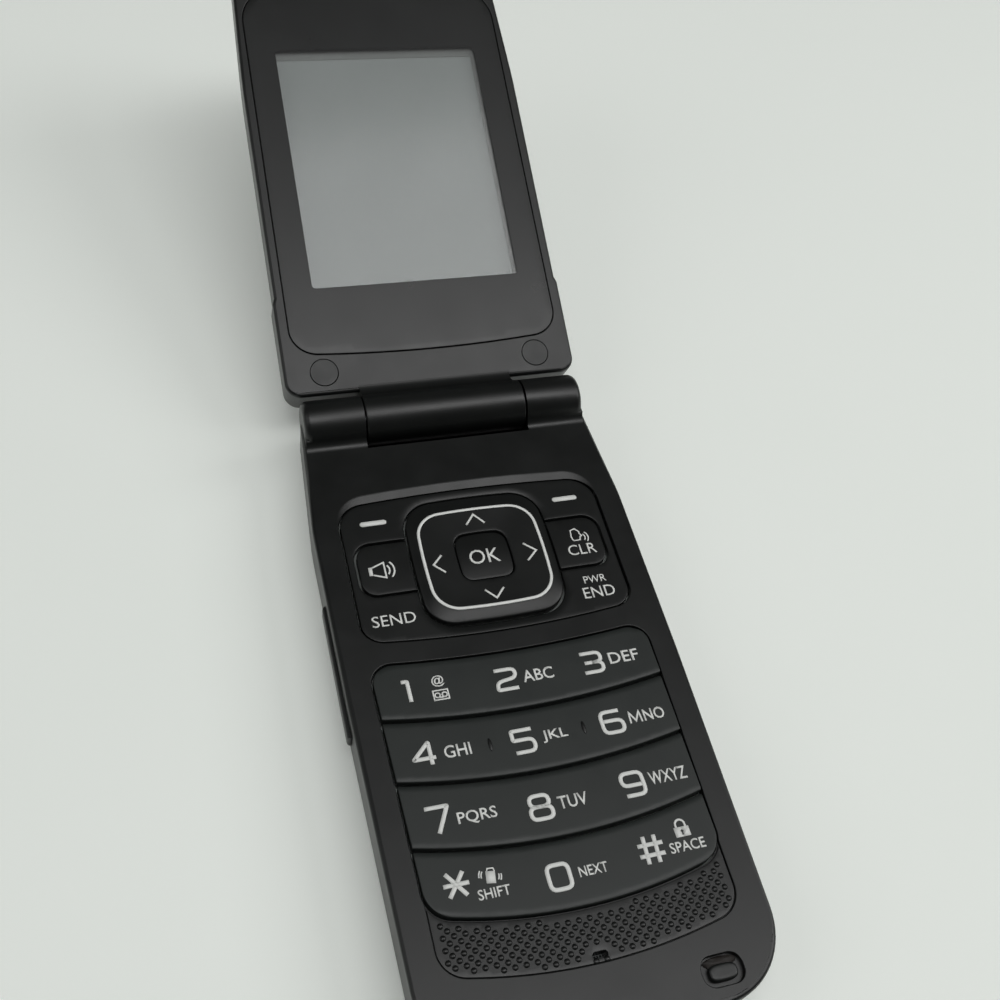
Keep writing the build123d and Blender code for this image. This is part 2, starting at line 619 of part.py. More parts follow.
def shield_can():
    shield_low = board_low - shield_height
    can = block(shield_x, shield_y, (shield_low, board_low))
    inner_x = (shield_x[0] + shield_wall, shield_x[1] - shield_wall)
    inner_y = (shield_y[0] + shield_wall, shield_y[1] - shield_wall)
    can = fillet(can.edges().filter_by(Axis.Z), shield_corner)
    return can - block(inner_x, inner_y, (shield_low + shield_wall, far))


def antenna_carrier():
    body = block(antenna_x, antenna_y, (antenna_low, board_low - stack_gap))
    body = fillet(body.edges().filter_by(Axis.Z), antenna_corner)
    inner_x = (antenna_x[0] + antenna_wall, antenna_x[1] - antenna_wall)
    inner_y = (antenna_y[0] + antenna_wall, antenna_y[1] - antenna_wall)
    return body - block(inner_x, inner_y, (antenna_low + antenna_wall, far))


def loudspeaker():
    low = chamber_floor + stack_gap
    body = rod_z(speaker_radius, speaker_x, speaker_y, (low, low + speaker_thickness))
    body += rod_z(speaker_magnet_radius, speaker_x, speaker_y, (low + speaker_step, board_low - stack_gap))
    return body - rod_z(speaker_radius - speaker_rim, speaker_x, speaker_y, (0, low + speaker_step))


def microphone():
    return rod_z(mic_radius, 0, mic_y, (board_high, board_high + mic_height))


def microphone_boot():
    room = rod_z(mic_radius + hair_gap, 0, mic_y, (0, board_high + mic_height + hair_gap))
    ring = rod_z(boot_radius, 0, mic_y, (board_high, face_under - hair_gap))
    return ring - room - rod_z(boot_port_radius, 0, mic_y, (0, far))


def charging_socket():
    body = block((charger_inner, charger_outer), about(charger_y, charger_width),
                 (board_low - charger_height, board_low - hair_gap))
    body = fillet(body.edges().filter_by(Axis.X), charger_corner)
    mouth = block((charger_inner + charger_back, far), about(charger_y, charger_mouth_width),
                  about(charger_z, charger_mouth_height))
    tongue = block((charger_inner, charger_outer - tongue_inset), about(charger_y, tongue_width),
                   about(charger_z, tongue_thickness))
    return (body - mouth) + tongue


def headset_jack():
    body = block((jack_inner, jack_outer), about(jack_y, jack_width),
                 (chamber_floor + jack_floor_gap, board_low - stack_gap / 2))
    body += rod_x(jack_nose_radius, (jack_outer - 1, base_half - jack_nose_inset), jack_y, jack_z)
    return body - rod_x(jack_bore, (jack_inner + jack_back, far), jack_y, jack_z)


def volume_switch_board():
    face = -(flange_inner - switch_gap)
    back = face + switch_height
    middle_z = (rocker_low + rocker_high) / 2
    board = block((back, back + switch_board_thickness), about(rocker_y, switch_board_size[0]),
                  about(middle_z, switch_board_size[1]))
    for y in (rocker_y - switch_spread, rocker_y + switch_spread):
        board += block((face, back + switch_board_thickness / 2), about(y, switch_size[0]),
                       about(middle_z, switch_size[1]))
    return board


def flex_connector():
    return block(about(flex_x, flex_width + 2 * connector_lip), about(flex_plug_y, flex_plug_length),
                 (board_high, board_high + flex_plug_height))


def hinge_flex_base_end():
    low = board_high + flex_plug_height + stack_gap / 2
    start = flex_plug_y - flex_plug_length / 2 + flex_plug_inset
    return block(about(flex_x, flex_width), (start, hinge_y - bush_bore / 2), (low, low + flex_thickness))


def hall_sensor():
    return block(about(magnet_x, sensor_size[0]), about(hinge_y - magnet_reach, sensor_size[1]),
                 (board_high, board_high + sensor_height))


def chin_inlay():
    plan = offset(chin_plan, -inlay_gap) - offset(block_plan, key_gap)
    plan = plan.faces().sort_by(Axis.Y)[0]
    inlay = slab(plan, base_thickness - inlay_thickness + hair_gap, base_thickness - inlay_dip)
    return inlay - mic_slot()


def closing_bumpers():
    plan = RectangleRounded(bumper_length, bumper_width, bumper_radius)
    bumper = slab(plan, base_thickness - bumper_pocket_depth, base_thickness + bumper_rise)
    return both_sides(Pos(bumper_x, bumper_y) * bumper)


def base_screws():
    low = screw(low_screw_x, low_screw_y, low_screw_head_z, low_screw_tip_z)
    high = screw(high_screw_x, high_screw_y, high_screw_head_z, high_screw_tip_z)
    return both_sides(low) + both_sides(high)


# Hinge
def hinge_cam_shaft():
    start = -barrel_cut
    return cam_head(0, 0) + rod_x(cam_shaft_radius, (start - 1, start + cam_shaft_length), hinge_y, hinge_z)


def hinge_cartridge():
    body = rod_x(cartridge_radius, (-barrel_half + stack_gap, cartridge_end), hinge_y, hinge_z)
    body = chamfer(body.edges().filter_by(GeomType.CIRCLE), cartridge_edge)
    depth = -barrel_cut + cam_shaft_length + cam_end_spare
    return body - rod_x(cam_shaft_radius + running_clearance, (-far, depth), hinge_y, hinge_z)


def hinge_bush():
    tube = rod_x(bush_radius, (bush_start, bush_end), hinge_y, hinge_z)
    return tube - rod_x(bush_bore, (0, far), hinge_y, hinge_z) - flex_slot()


# Base: keys
def key_row(index):
    """One strip of three number keys whose lower edge stands up as a rounded crest.

    The second strip has a raised mark on each side of its middle key, to find it by touch.
    """
    plan = offset(block_plan, -key_gap)
    if index > 0:
        y, bow = row_lines[index - 1]
        plan = plan & below_line(y - row_gap / 2, bow)
    if index < len(row_lines):
        y, bow = row_lines[index]
        plan = plan - below_line(y + row_gap / 2, bow)
    lower_edges = [(y, bow, row_line_half) for y, bow in row_lines]
    low, low_bow, half = (lower_edges + [(block_low, block_low_bow, block_low_half)])[index]
    high = ([block_high] + [y for y, bow in row_lines])[index] + row_line_spare
    centre_y = low + bow_radius(half, low_bow)
    crest, heel = base_thickness + row_crest, base_thickness - row_dip - row_heel_drop
    crest_y = low + row_crest_setback
    heel_edge = ThreePointArc((low - 1, heel), (low + row_crest_setback * 0.3, crest - row_crest_round),
                              (crest_y, crest))
    rest = Polyline((crest_y, crest), (high, base_thickness - row_dip - row_slope), (high, key_bottom),
                    (low - 1, key_bottom), (low - 1, heel))
    profile = Plane.YZ * make_face([heel_edge] + rest.edges())
    sweep_half = 26
    start = Pos(0, centre_y) * Rot(0, 0, -sweep_half) * Pos(0, -centre_y) * profile
    crown = revolve(start, axis=Axis((0, centre_y, 0), (0, 0, 1)), revolution_arc=2 * sweep_half)
    strip = slab(plan, key_bottom, crest + 1) & crown
    if index == marked_row:
        mark = Pos(mark_x, mark_y) * Rot(0, 0, 90) * SlotOverall(mark_length, mark_width)
        strip += both_sides(slab(mark, key_bottom, base_thickness + mark_rise))
    return strip


def function_plate():
    plan = offset(panel_plan, -key_gap) - collar_room
    for side in (-1, 1):
        plan -= side_key_pad(side, key_gap)
    top = base_thickness - plate_dip
    plate = slab(plan, key_bottom, top)
    deep = nav_plan(nav_half_x - plate_bevel_side, nav_half_y + stack_gap, nav_bulge, nav_radius)
    wide = nav_plan(nav_half_x + stack_gap, nav_half_y + plate_bevel_width, nav_bulge, nav_radius)
    return plate - loft([Pos(0, 0, top - plate_bevel_depth) * deep, Pos(0, 0, top) * wide])


def side_key(side):
    key = slab(side_key_plan(side), key_bottom, base_thickness - plate_dip + side_key_rise)
    return fillet(key.faces().sort_by(Axis.Z)[-1].edges(), side_key_edge_radius)


def nav_ring():
    edge = base_thickness - nav_edge_dip
    foot = slab(collar_plan, face_under, edge)
    top_plan = nav_plan(nav_top_half_x, nav_top_half_y, nav_top_bulge, nav_top_radius)
    crown = loft([Pos(0, 0, edge) * collar_plan, Pos(0, 0, base_thickness + nav_rise) * top_plan])
    return foot + crown - slab(offset(ok_plan, key_gap), 0, far)


def nav_seat():
    outer = RectangleRounded(2 * seat_outer_half, 2 * seat_outer_half, seat_outer_radius)
    inner = RectangleRounded(2 * seat_inner_half, 2 * seat_inner_half, seat_inner_radius)
    return Pos(0, nav_y) * slab(outer - inner, key_bottom, key_bottom + seat_thickness)


def ok_key():
    key = slab(ok_plan, key_bottom, base_thickness + ok_rise)
    return fillet(key.faces().sort_by(Axis.Z)[-1].edges(), ok_edge_radius)


def volume_rocker():
    """The rocker pad on its flange, which rocks on a round rib between the two switches."""
    outer = base_half + rocker_stand
    z_span = (rocker_low, rocker_high)
    pad = block((-outer, -flange_outer + rocker_root), about(rocker_y, rocker_length), z_span)
    pad = fillet(pad.faces().sort_by(Axis.X)[0].edges(), rocker_edge_radius)
    flange = block((-flange_outer, -flange_outer + rocker_flange_thickness),
                   about(rocker_y, rocker_length + 2 * rocker_flange_lip),
                   (rocker_low - rocker_flange_rise, rocker_high + rocker_flange_rise))
    rib_x = pivot_radius - pivot_sink - flange_inner
    return pad + flange + rod_z(pivot_radius, rib_x, rocker_y, z_span)


def charger_port_cover():
    """A flap flush with the side, whose round upper end is its hinge."""
    low, high = about(charger_y, flap_length)
    hinge_x, hinge_end = base_half - flap_depth + flap_hinge_radius, high - flap_hinge_radius
    z_span = (flap_low, flap_low + flap_height)
    flap = slab(base_plan, *z_span) & block((base_half - flap_depth, far), (low, hinge_end), across)
    return flap + rod_z(flap_hinge_radius, hinge_x, hinge_end, z_span)


# Lid, drawn flat beyond the hinge
def reach(distance):
    """The y of a point of the flat lid at a distance from the hinge axis."""
    return hinge_y + distance


def level(depth):
    """The z of a point of the flat lid at a depth below its inner face."""
    return hinge_z - closing_gap - depth


def lid_block(x_span, reach_span, depth_span):
    return block(x_span, [reach(r) for r in reach_span], [level(d) for d in depth_span])


def lid_slab(plan, depth_span):
    return slab(plan, level(max(depth_span)), level(min(depth_span)))


def lid_rod(radius, x, distance, depth_span):
    return rod_z(radius, x, reach(distance), [level(d) for d in depth_span])


def opened(part):
    """A piece of the lid, turned up about the hinge axis to where the open lid stops."""
    return part.rotate(Axis((0, hinge_y, hinge_z), (1, 0, 0)), rest_tilt)


def lid_room(inset):
    """The plan of the room inside the lid's walls, without the small step of its sides."""
    return Pos(0, hinge_y) * Rot(0, 0, 180) * housing_plan(-lid_tip + inset, [
        (lid_tip_half - inset, inset - lid_tip_corner, lid_tip_radius - inset),
        (lid_side_half - inset, -lid_side_reach, lid_side_radius),
        (lid_step_half - inset, -lid_heel - inset, lid_heel_radius)])


def outer_lens_plan(grow):
    width, length = 2 * (outer_lens_half + grow), outer_lens_length + 2 * grow
    middle = reach(sum(outer_lens_reach) / 2)
    return Pos(0, middle) * RectangleRounded(width, length, outer_lens_radius + grow)


lid_plan = Pos(0, hinge_y) * Rot(0, 0, 180) * housing_plan(-lid_tip, [
    (lid_tip_half, -lid_tip_corner, lid_tip_radius),
    (lid_side_half, -lid_side_reach, lid_side_radius),
    (lid_step_half, -lid_step_high, lid_step_radius),
    (lid_heel_half, -lid_step_low, lid_step_radius),
    (lid_heel_half, -lid_heel, lid_heel_radius)])
lens_plan = pad_plan(reach(lens_low), reach(lens_high), lens_half, lens_high_half,
                     (lens_low_bow, lens_high_bow, 0), (lens_low_radius, lens_high_radius))
neck_end = lid_heel + neck_run


def barrel_and_neck():
    """The middle barrel of the hinge and the neck that joins it to the lid."""
    lift = neck_root - closing_gap
    run = sqrt((barrel_radius + neck_root) ** 2 - lift ** 2)
    touch = hinge_z + lift * barrel_radius / (barrel_radius + neck_root)
    barrel = rod_x(barrel_radius, (-barrel_half, barrel_half), hinge_y, hinge_z)
    barrel = fillet(barrel.edges().filter_by(GeomType.CIRCLE), barrel_edge_radius)
    root = block((-neck_half, neck_half), (hinge_y, hinge_y + run), (level(0), touch))
    root -= rod_x(neck_root, across, hinge_y + run, hinge_z + lift)
    outline = Polyline((hinge_y, hinge_z - barrel_radius + running_clearance),
                       (reach(lid_heel + neck_rise), level(neck_depth)), (reach(neck_end), level(neck_depth)),
                       (reach(neck_end), level(0)), (hinge_y, level(0)), close=True)
    neck = Pos(-neck_half, 0, 0) * extrude(Plane.YZ * make_face(outline), amount=2 * neck_half)
    return barrel + root + neck


def barrel_bores():
    """The stepped bore of the middle barrel, and the slot for the ribbon through the neck."""
    left = rod_x(cartridge_radius + seat_clearance, (-far, cartridge_end + stack_gap), hinge_y, hinge_z)
    right = rod_x(bush_radius + running_clearance, (bush_start - cam_end_spare, far), hinge_y, hinge_z)
    middle = rod_x(bush_bore + stack_gap, (0, far), hinge_y, hinge_z)
    slot = lid_block(about(connector_x, flex_width + 2 * flex_slot_gap), (0, lens_low),
                     about(flex_tail_depth, flex_slot_height))
    return left + right + middle + slot


def lid_inner_housing():
    shell = lid_slab(lid_plan, (0, lid_split_depth))
    shell = fillet(shell.faces().sort_by(Axis.Z)[-1].edges(), face_edge_radius)
    beyond_neck = block(across, (reach(neck_end), 2 * far), across)
    shell -= lid_slab(lid_room(lid_wall), (lid_face_wall, far)) & beyond_neck
    shell += barrel_and_neck()
    shell -= lid_slab(offset(lens_plan, lens_gap), (-1, lens_thickness + lens_bed))
    shell -= lid_block((-window_half, window_half), window_reach, (-1, lid_split_depth + 1))
    sleeve = lid_rod(cap_radius + cap_wall, lid_screw_x, lid_screw_reach,
                     (lid_face_wall - cap_wall_root, lid_split_depth))
    steps = [(cap_radius + cap_gap, cap_thickness + stack_gap / 2),
             (screw_head_radius + screw_hole_gap, lid_screw_head_depth),
             (screw_radius + screw_hole_gap, lid_thickness)]
    hole = Part() + [lid_rod(radius, lid_screw_x, lid_screw_reach, (-1, depth)) for radius, depth in steps]
    shell = shell + both_sides(sleeve) - both_sides(hole)
    ear = Pos(0, reach(receiver_reach)) * SlotOverall(earpiece_slot_length, earpiece_slot_width)
    shell -= lid_slab(ear, (-1, lid_split_depth + 1))
    bed = Pos(0, reach(receiver_reach)) * SlotOverall(mesh_length + 2 * mesh_gap, mesh_width + 2 * mesh_gap)
    shell -= lid_slab(bed, (lid_face_wall - mesh_thickness - mesh_lift - mesh_gap, lid_split_depth + 1))
    return shell - barrel_bores()


def lid_outer_housing():
    shell = lid_slab(lid_plan, (lid_split_depth, lid_thickness))
    shell = fillet(shell.faces().sort_by(Axis.Z)[0].edges(), lid_back_radius)
    room = lid_slab(lid_room(lid_wall), (0, lid_thickness - lid_back_wall))
    room = fillet(room.faces().sort_by(Axis.Z)[0].edges(), lid_back_radius - lid_back_wall)
    shell -= room & block(across, (reach(lid_heel + lid_heel_wall), far * 2), across)
    shell -= lid_block(about(0, 2 * (neck_half + stack_gap)), (0, neck_end + stack_gap),
                       (0, neck_depth + running_clearance))
    boss_span = (lid_split_depth, lid_thickness - lid_back_wall / 2)
    boss = lid_rod(boss_radius, lid_screw_x, lid_screw_reach, boss_span)
    pilot = lid_rod(pilot_radius, lid_screw_x, lid_screw_reach, (0, lid_screw_tip_depth + stack_gap))
    shell = shell + both_sides(boss) - both_sides(pilot)
    shell -= lid_slab(outer_lens_plan(lens_gap), (lid_thickness - outer_lens_thickness - lens_bed, far))
    shell -= lid_block((-outer_display_half, outer_display_half), outer_display_reach, (0, far))
    window_depth = lid_thickness - camera_window_thickness - lens_bed
    shell -= lid_rod(camera_window_radius + lens_gap, 0, camera_reach, (window_depth, far))
    return shell - lid_rod(camera_hole_radius, 0, camera_reach, (0, far))


def display_lens():
    return lid_slab(lens_plan, (0, lens_thickness))


def display_module():
    return lid_block((-module_half, module_half), module_reach, module_depth)


def display_frame():
    grow = frame_gap + frame_wall
    back = module_depth[1] + frame_drop
    tray = lid_block((-module_half - grow, module_half + grow),
                     (module_reach[0] - grow, module_reach[1] + grow), (module_depth[0], back))
    room = lid_block((-module_half - frame_gap, module_half + frame_gap),
                     (module_reach[0] - frame_gap, module_reach[1] + frame_gap), (0, back - frame_back))
    return tray - room


def lid_board():
    board = lid_slab(lid_room(lid_wall + lid_board_inset), (lid_board_depth, lid_board_back))
    return board & lid_block((-lid_board_half, lid_board_half), lid_board_reach, (0, far))


def receiver():
    body = lid_block((-receiver_half, receiver_half), about(receiver_reach, receiver_length), receiver_depth)
    body = fillet(body.edges().filter_by(Axis.Z), receiver_corner)
    port = Pos(0, reach(receiver_reach)) * SlotOverall(earpiece_slot_length - 1, earpiece_slot_width)
    return body - lid_slab(port, (0, receiver_depth[0] + receiver_port_depth))


def earpiece_mesh():
    plan = Pos(0, reach(receiver_reach)) * SlotOverall(mesh_length, mesh_width)
    return lid_slab(plan, (lid_face_wall - mesh_thickness - mesh_lift, lid_face_wall - mesh_lift))


def vibration_motor():
    body = lid_rod(motor_radius, motor_x, motor_reach, motor_depth)
    return chamfer(body.edges().filter_by(GeomType.CIRCLE), motor_edge)


def lid_magnet():
    return lid_block(about(magnet_x, magnet_size[0]), about(magnet_reach, magnet_size[1]), magnet_depth)


def lid_flex_connector():
    return lid_block(about(connector_x, flex_width + 2 * connector_lip), connector_reach, connector_depth)


def hinge_flex_lid_end():
    """The ribbon rolled up inside the barrel, with the tail that runs to the lid's board."""
    roll = rod_x(flex_roll_radius, (cartridge_end + cam_end_spare, flex_roll_end), hinge_y, hinge_z)
    roll -= rod_x(flex_roll_radius - flex_roll_wall, (0, far), hinge_y, hinge_z)
    half = flex_thickness / 2
    span = about(connector_x, flex_width)
    rise = lid_block(span, (0, flex_thickness), (flex_tail_depth, stack_gap - closing_gap - flex_roll_radius))
    rise -= rod_x(flex_roll_radius - flex_roll_wall, across, hinge_y, hinge_z)
    tail = lid_block(span, (0, flex_tail_end), about(flex_tail_depth, flex_thickness))
    link = lid_block(span, (flex_tail_end, flex_tail_end + flex_thickness),
                     (flex_tail_depth - half, flex_drop_depth + half))
    drop = lid_block(span, (flex_tail_end, connector_reach[1] - flex_slot_gap),
                     about(flex_drop_depth, flex_thickness))
    return roll + rise + tail + link + drop


def outer_lens():
    return lid_slab(outer_lens_plan(0), (lid_thickness - outer_lens_thickness, lid_thickness))


def outer_display():
    half = outer_display_half - outer_display_gap
    span = (outer_display_reach[0] + outer_display_gap, outer_display_reach[1] - outer_display_gap)
    return lid_block((-half, half), span, back_parts_depth)


def camera_module():
    body = lid_block((-camera_half, camera_half), about(camera_reach, 2 * camera_half), back_parts_depth)
    nose_span = (back_parts_depth[0], lid_thickness - camera_window_thickness - camera_nose_gap)
    return body + lid_rod(camera_hole_radius - camera_nose_gap, 0, camera_reach, nose_span)


def camera_window():
    span = (lid_thickness - camera_window_thickness, lid_thickness)
    return lid_rod(camera_window_radius, 0, camera_reach, span)


def screw_caps():
    return both_sides(lid_rod(cap_radius, lid_screw_x, lid_screw_reach, (0, cap_thickness)))


def lid_screws():
    head = lid_rod(screw_head_radius, lid_screw_x, lid_screw_reach,
                   (lid_screw_head_depth - screw_head_height, lid_screw_head_depth))
    shank = lid_rod(screw_radius, lid_screw_x, lid_screw_reach, (lid_screw_head_depth, lid_screw_tip_depth))
    return both_sides(head + shank)


base_nodes = {
    "front_housing": front_housing, "rear_housing": rear_housing, "battery_cover": battery_cover,
    "battery_pack": battery_pack, "battery_contacts": battery_contacts, "main_board": main_board,
    "dome_sheet": dome_sheet, "keypad_rubber": keypad_rubber, "shield_can": shield_can,
    "antenna_carrier": antenna_carrier, "loudspeaker": loudspeaker, "microphone": microphone,
    "microphone_boot": microphone_boot, "charging_socket": charging_socket, "headset_jack": headset_jack,
    "charger_port_cover": charger_port_cover, "volume_switch_board": volume_switch_board,
    "volume_rocker": volume_rocker, "flex_connector": flex_connector,
    "hinge_flex_base_end": hinge_flex_base_end, "hall_sensor": hall_sensor, "chin_inlay": chin_inlay,
    "closing_bumpers": closing_bumpers, "base_screws": base_screws, "hinge_cam_shaft": hinge_cam_shaft,
    "hinge_bush": hinge_bush, "function_plate": function_plate, "nav_ring": nav_ring, "nav_seat": nav_seat,
    "ok_key": ok_key}
lid_nodes = {
    "lid_inner_housing": lid_inner_housing, "lid_outer_housing": lid_outer_housing,
    "display_lens": display_lens, "display_module": display_module, "display_frame": display_frame,
    "lid_board": lid_board, "receiver": receiver, "earpiece_mesh": earpiece_mesh,
    "vibration_motor": vibration_motor, "lid_magnet": lid_magnet, "lid_flex_connector": lid_flex_connector,
    "hinge_flex_lid_end": hinge_flex_lid_end, "hinge_cartridge": hinge_cartridge, "outer_lens": outer_lens,
    "outer_display": outer_display, "camera_module": camera_module, "camera_window": camera_window,
    "screw_caps": screw_caps, "lid_screws": lid_screws}

for name, make in base_nodes.items():
    export_step(make(), f"parts/{name}.step")
for row in range(len(row_lines) + 1):
    export_step(key_row(row), f"parts/key_row_{row + 1}.step")
export_step(side_key(-1), "parts/speaker_key.step")
export_step(side_key(1), "parts/clear_key.step")
for name, make in lid_nodes.items():
    export_step(opened(make()), f"parts/{name}.step")
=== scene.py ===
import json
import math

import bmesh
import bpy
import numpy as np
from mathutils import Matrix, Vector, noise
from mathutils.geometry import delaunay_2d_cdt
from mathutils.kdtree import KDTree


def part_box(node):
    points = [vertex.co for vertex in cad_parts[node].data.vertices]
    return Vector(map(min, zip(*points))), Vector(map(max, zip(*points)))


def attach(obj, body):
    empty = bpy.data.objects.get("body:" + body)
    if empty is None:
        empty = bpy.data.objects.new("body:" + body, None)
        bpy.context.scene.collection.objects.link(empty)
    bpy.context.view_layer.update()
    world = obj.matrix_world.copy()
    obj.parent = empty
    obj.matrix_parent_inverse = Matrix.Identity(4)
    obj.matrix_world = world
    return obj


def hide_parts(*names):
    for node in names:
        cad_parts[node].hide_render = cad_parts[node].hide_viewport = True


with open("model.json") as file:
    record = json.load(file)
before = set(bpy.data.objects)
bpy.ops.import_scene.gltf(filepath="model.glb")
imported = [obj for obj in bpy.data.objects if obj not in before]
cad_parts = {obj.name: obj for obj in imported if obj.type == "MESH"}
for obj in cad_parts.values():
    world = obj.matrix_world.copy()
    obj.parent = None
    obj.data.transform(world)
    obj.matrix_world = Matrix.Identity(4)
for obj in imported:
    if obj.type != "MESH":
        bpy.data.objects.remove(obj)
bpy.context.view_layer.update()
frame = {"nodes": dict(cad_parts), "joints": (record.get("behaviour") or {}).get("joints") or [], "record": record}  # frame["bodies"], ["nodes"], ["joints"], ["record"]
mm = 0.001

# ---- Housings of the base
# The two shells that hold the keypad and the battery bay, and the sliding battery cover: injection-
# moulded PC/ABS, charcoal right through, its skin spark-eroded to a fine matt grain.
shell_colours = "#0C0D0D", "#111312"
shell_roughness = 0.31, 0.4
grain_pitch, grain_depth, mottle_pitch = 0.22 * mm, 0.004 * mm, 9 * mm
merge_distance, rim_radius, rim_steps = 0.001 * mm, 0.15 * mm, 3
flat_angle, rounded_angle, sharp_angle = math.radians(0.4), math.radians(8), math.radians(32)
face_half, face_end, level_error = 23 * mm, 40 * mm, 0.02 * mm
base_place = Matrix.Identity(4)


def linear(hex_colour):
    """An sRGB hex colour as the linear values that a shader works in."""
    channels = [int(hex_colour[i:i + 2], 16) / 255 for i in (1, 3, 5)]
    return [c / 12.92 if c <= 0.04045 else ((c + 0.055) / 1.055) ** 2.4 for c in channels] + [1.0]


def add(tree, kind, settings):
    """Adds a node. Each setting is a property, the value of an input, or an output linked to an input."""
    node = tree.nodes.new(kind)
    for name, value in settings.items():
        if isinstance(value, bpy.types.NodeSocket):
            tree.links.new(value, node.inputs[name])
        elif isinstance(name, str) and hasattr(node, name):
            setattr(node, name, value)
        else:
            node.inputs[name].default_value = value
    return node


def finish_of(name, settings):
    """A new material named for its real finish, with its tree and its shader set as given."""
    material = bpy.data.materials.new(name)
    material.use_nodes = True
    tree = material.node_tree
    shader = tree.nodes["Principled BSDF"]
    for socket, value in settings.items():
        shader.inputs[socket].default_value = value
    return material, tree, shader


def place_in(tree):
    """The place on the object, which every pattern is drawn over."""
    return add(tree, "ShaderNodeTexCoord", {}).outputs["Object"]


def tinted(tree, shader, share, colours):
    """Gives the shader a colour between two."""
    mix = add(tree, "ShaderNodeMix", {"data_type": "RGBA", 0: share, 6: linear(colours[0]),
                                      7: linear(colours[1])})
    tree.links.new(mix.outputs[2], shader.inputs["Base Color"])


def glossed(tree, shader, share, roughness, share_range=(0.3, 0.7)):
    """Gives the shader a roughness between two."""
    low, high = share_range
    gloss = add(tree, "ShaderNodeMapRange", {"Value": share, "From Min": low, "From Max": high,
                                             "To Min": roughness[0], "To Max": roughness[1]})
    tree.links.new(gloss.outputs["Result"], shader.inputs["Roughness"])


def pressed(tree, shader, height, depth):
    """Gives the shader a relief of a depth."""
    bump = add(tree, "ShaderNodeBump", {"Height": height, "Distance": depth})
    tree.links.new(bump.outputs["Normal"], shader.inputs["Normal"])


def mottled(name, settings, colours, roughness, mottle, grain, depth):
    """A finish with clouds of two colours and two values of roughness, and a fine grain in its skin."""
    material, tree, shader = finish_of(name, settings)
    place = place_in(tree)
    clouds = add(tree, "ShaderNodeTexNoise", {"Vector": place, "Scale": 1 / mottle, "Detail": 4,
                                              "Roughness": 0.6}).outputs["Fac"]
    tinted(tree, shader, clouds, colours)
    glossed(tree, shader, clouds, roughness)
    pits = add(tree, "ShaderNodeTexNoise", {"Vector": place, "Scale": 1 / grain, "Detail": 2})
    pressed(tree, shader, pits.outputs["Fac"], depth)
    return material


# spark-eroded PC/ABS: a dry, dark grey skin that scatters the light, with greasy patches from the hand
# the real grain is about 0.05 mm and is drawn four times as coarse, so that it shows
shell_plastic = mottled("spark_eroded_pc_abs", {"IOR": 1.5}, shell_colours, shell_roughness, mottle_pitch,
                        grain_pitch, grain_depth)


def body_of(node):
    """The name of the body that carries a CAD node."""
    return next(body for body, members in frame["record"]["behaviour"]["bodies"].items() if node in members)


def merged(node, place):
    """A CAD node's loose triangles joined into one skin, seen from the flat frame at place."""
    work = bmesh.new()
    work.from_mesh(frame["nodes"][node].data)
    bmesh.ops.transform(work, matrix=place.inverted(), verts=work.verts)
    bmesh.ops.remove_doubles(work, verts=work.verts, dist=merge_distance)
    return work


def piece_of(name, work, material, node, place=base_place, stands_for=True):
    """Makes a piece of a finished mesh, puts it where its flat frame lies, and lets it ride with the node."""
    mesh = bpy.data.meshes.new(name)
    bmesh.ops.transform(work, matrix=place, verts=work.verts)
    work.to_mesh(mesh)
    work.free()
    mesh.shade_smooth()
    mesh.set_sharp_from_angle(angle=sharp_angle)
    mesh.materials.append(material)
    piece = bpy.data.objects.new(name, mesh)
    bpy.context.scene.collection.objects.link(piece)
    if stands_for:
        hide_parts(node)
    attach(piece, body_of(node))
    return piece


def skin(node, material, at_a_rim=None, place=base_place):
    """A copy of a CAD node whose flat faces are whole again, with the edges at its rims rounded."""
    work = merged(node, place)
    bmesh.ops.dissolve_limit(work, angle_limit=flat_angle, verts=work.verts, edges=work.edges)
    if at_a_rim:
        rims = [edge for edge in work.edges
                if edge.is_manifold and edge.calc_face_angle(0) > rounded_angle
                and all(at_a_rim(vertex.co) for vertex in edge.verts)]
        bmesh.ops.bevel(work, geom=rims, offset=rim_radius, segments=rim_steps, profile=0.5, affect="EDGES",
                        clamp_overlap=False)
    piece = piece_of(node + "_skin", work, material, node, place)
    weigh = piece.modifiers.new("flat_faces_stay_flat", "WEIGHTED_NORMAL")
    weigh.keep_sharp = True


face_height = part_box("chin_inlay")[1].z + 0.1 * mm


def on_the_face(point):
    return abs(point.z - face_height) < level_error and abs(point.x) < face_half and point.y < face_end


skin("front_housing", shell_plastic, on_the_face)
skin("rear_housing", shell_plastic)
skin("battery_cover", shell_plastic)

# ---- Function key plate
# One moulding with the two soft keys, SEND and END, round the opening of the navigation key:
# polycarbonate with a soft-touch lacquer, dished towards that opening, on hinges of its own plastic.
plate_edge_radius, plate_spacing, key_setback = 0.16 * mm, 0.55 * mm, 0.12 * mm
dish_width, dish_depth, dish_power = 1.1 * mm, 0.3 * mm, 1.5
outline_spacing, lattice_rise, lattice_clear = 0.25 * mm, 0.87, 0.55
key_colours = "#0E0F0F", "#131514"
key_roughness = 0.32, 0.4


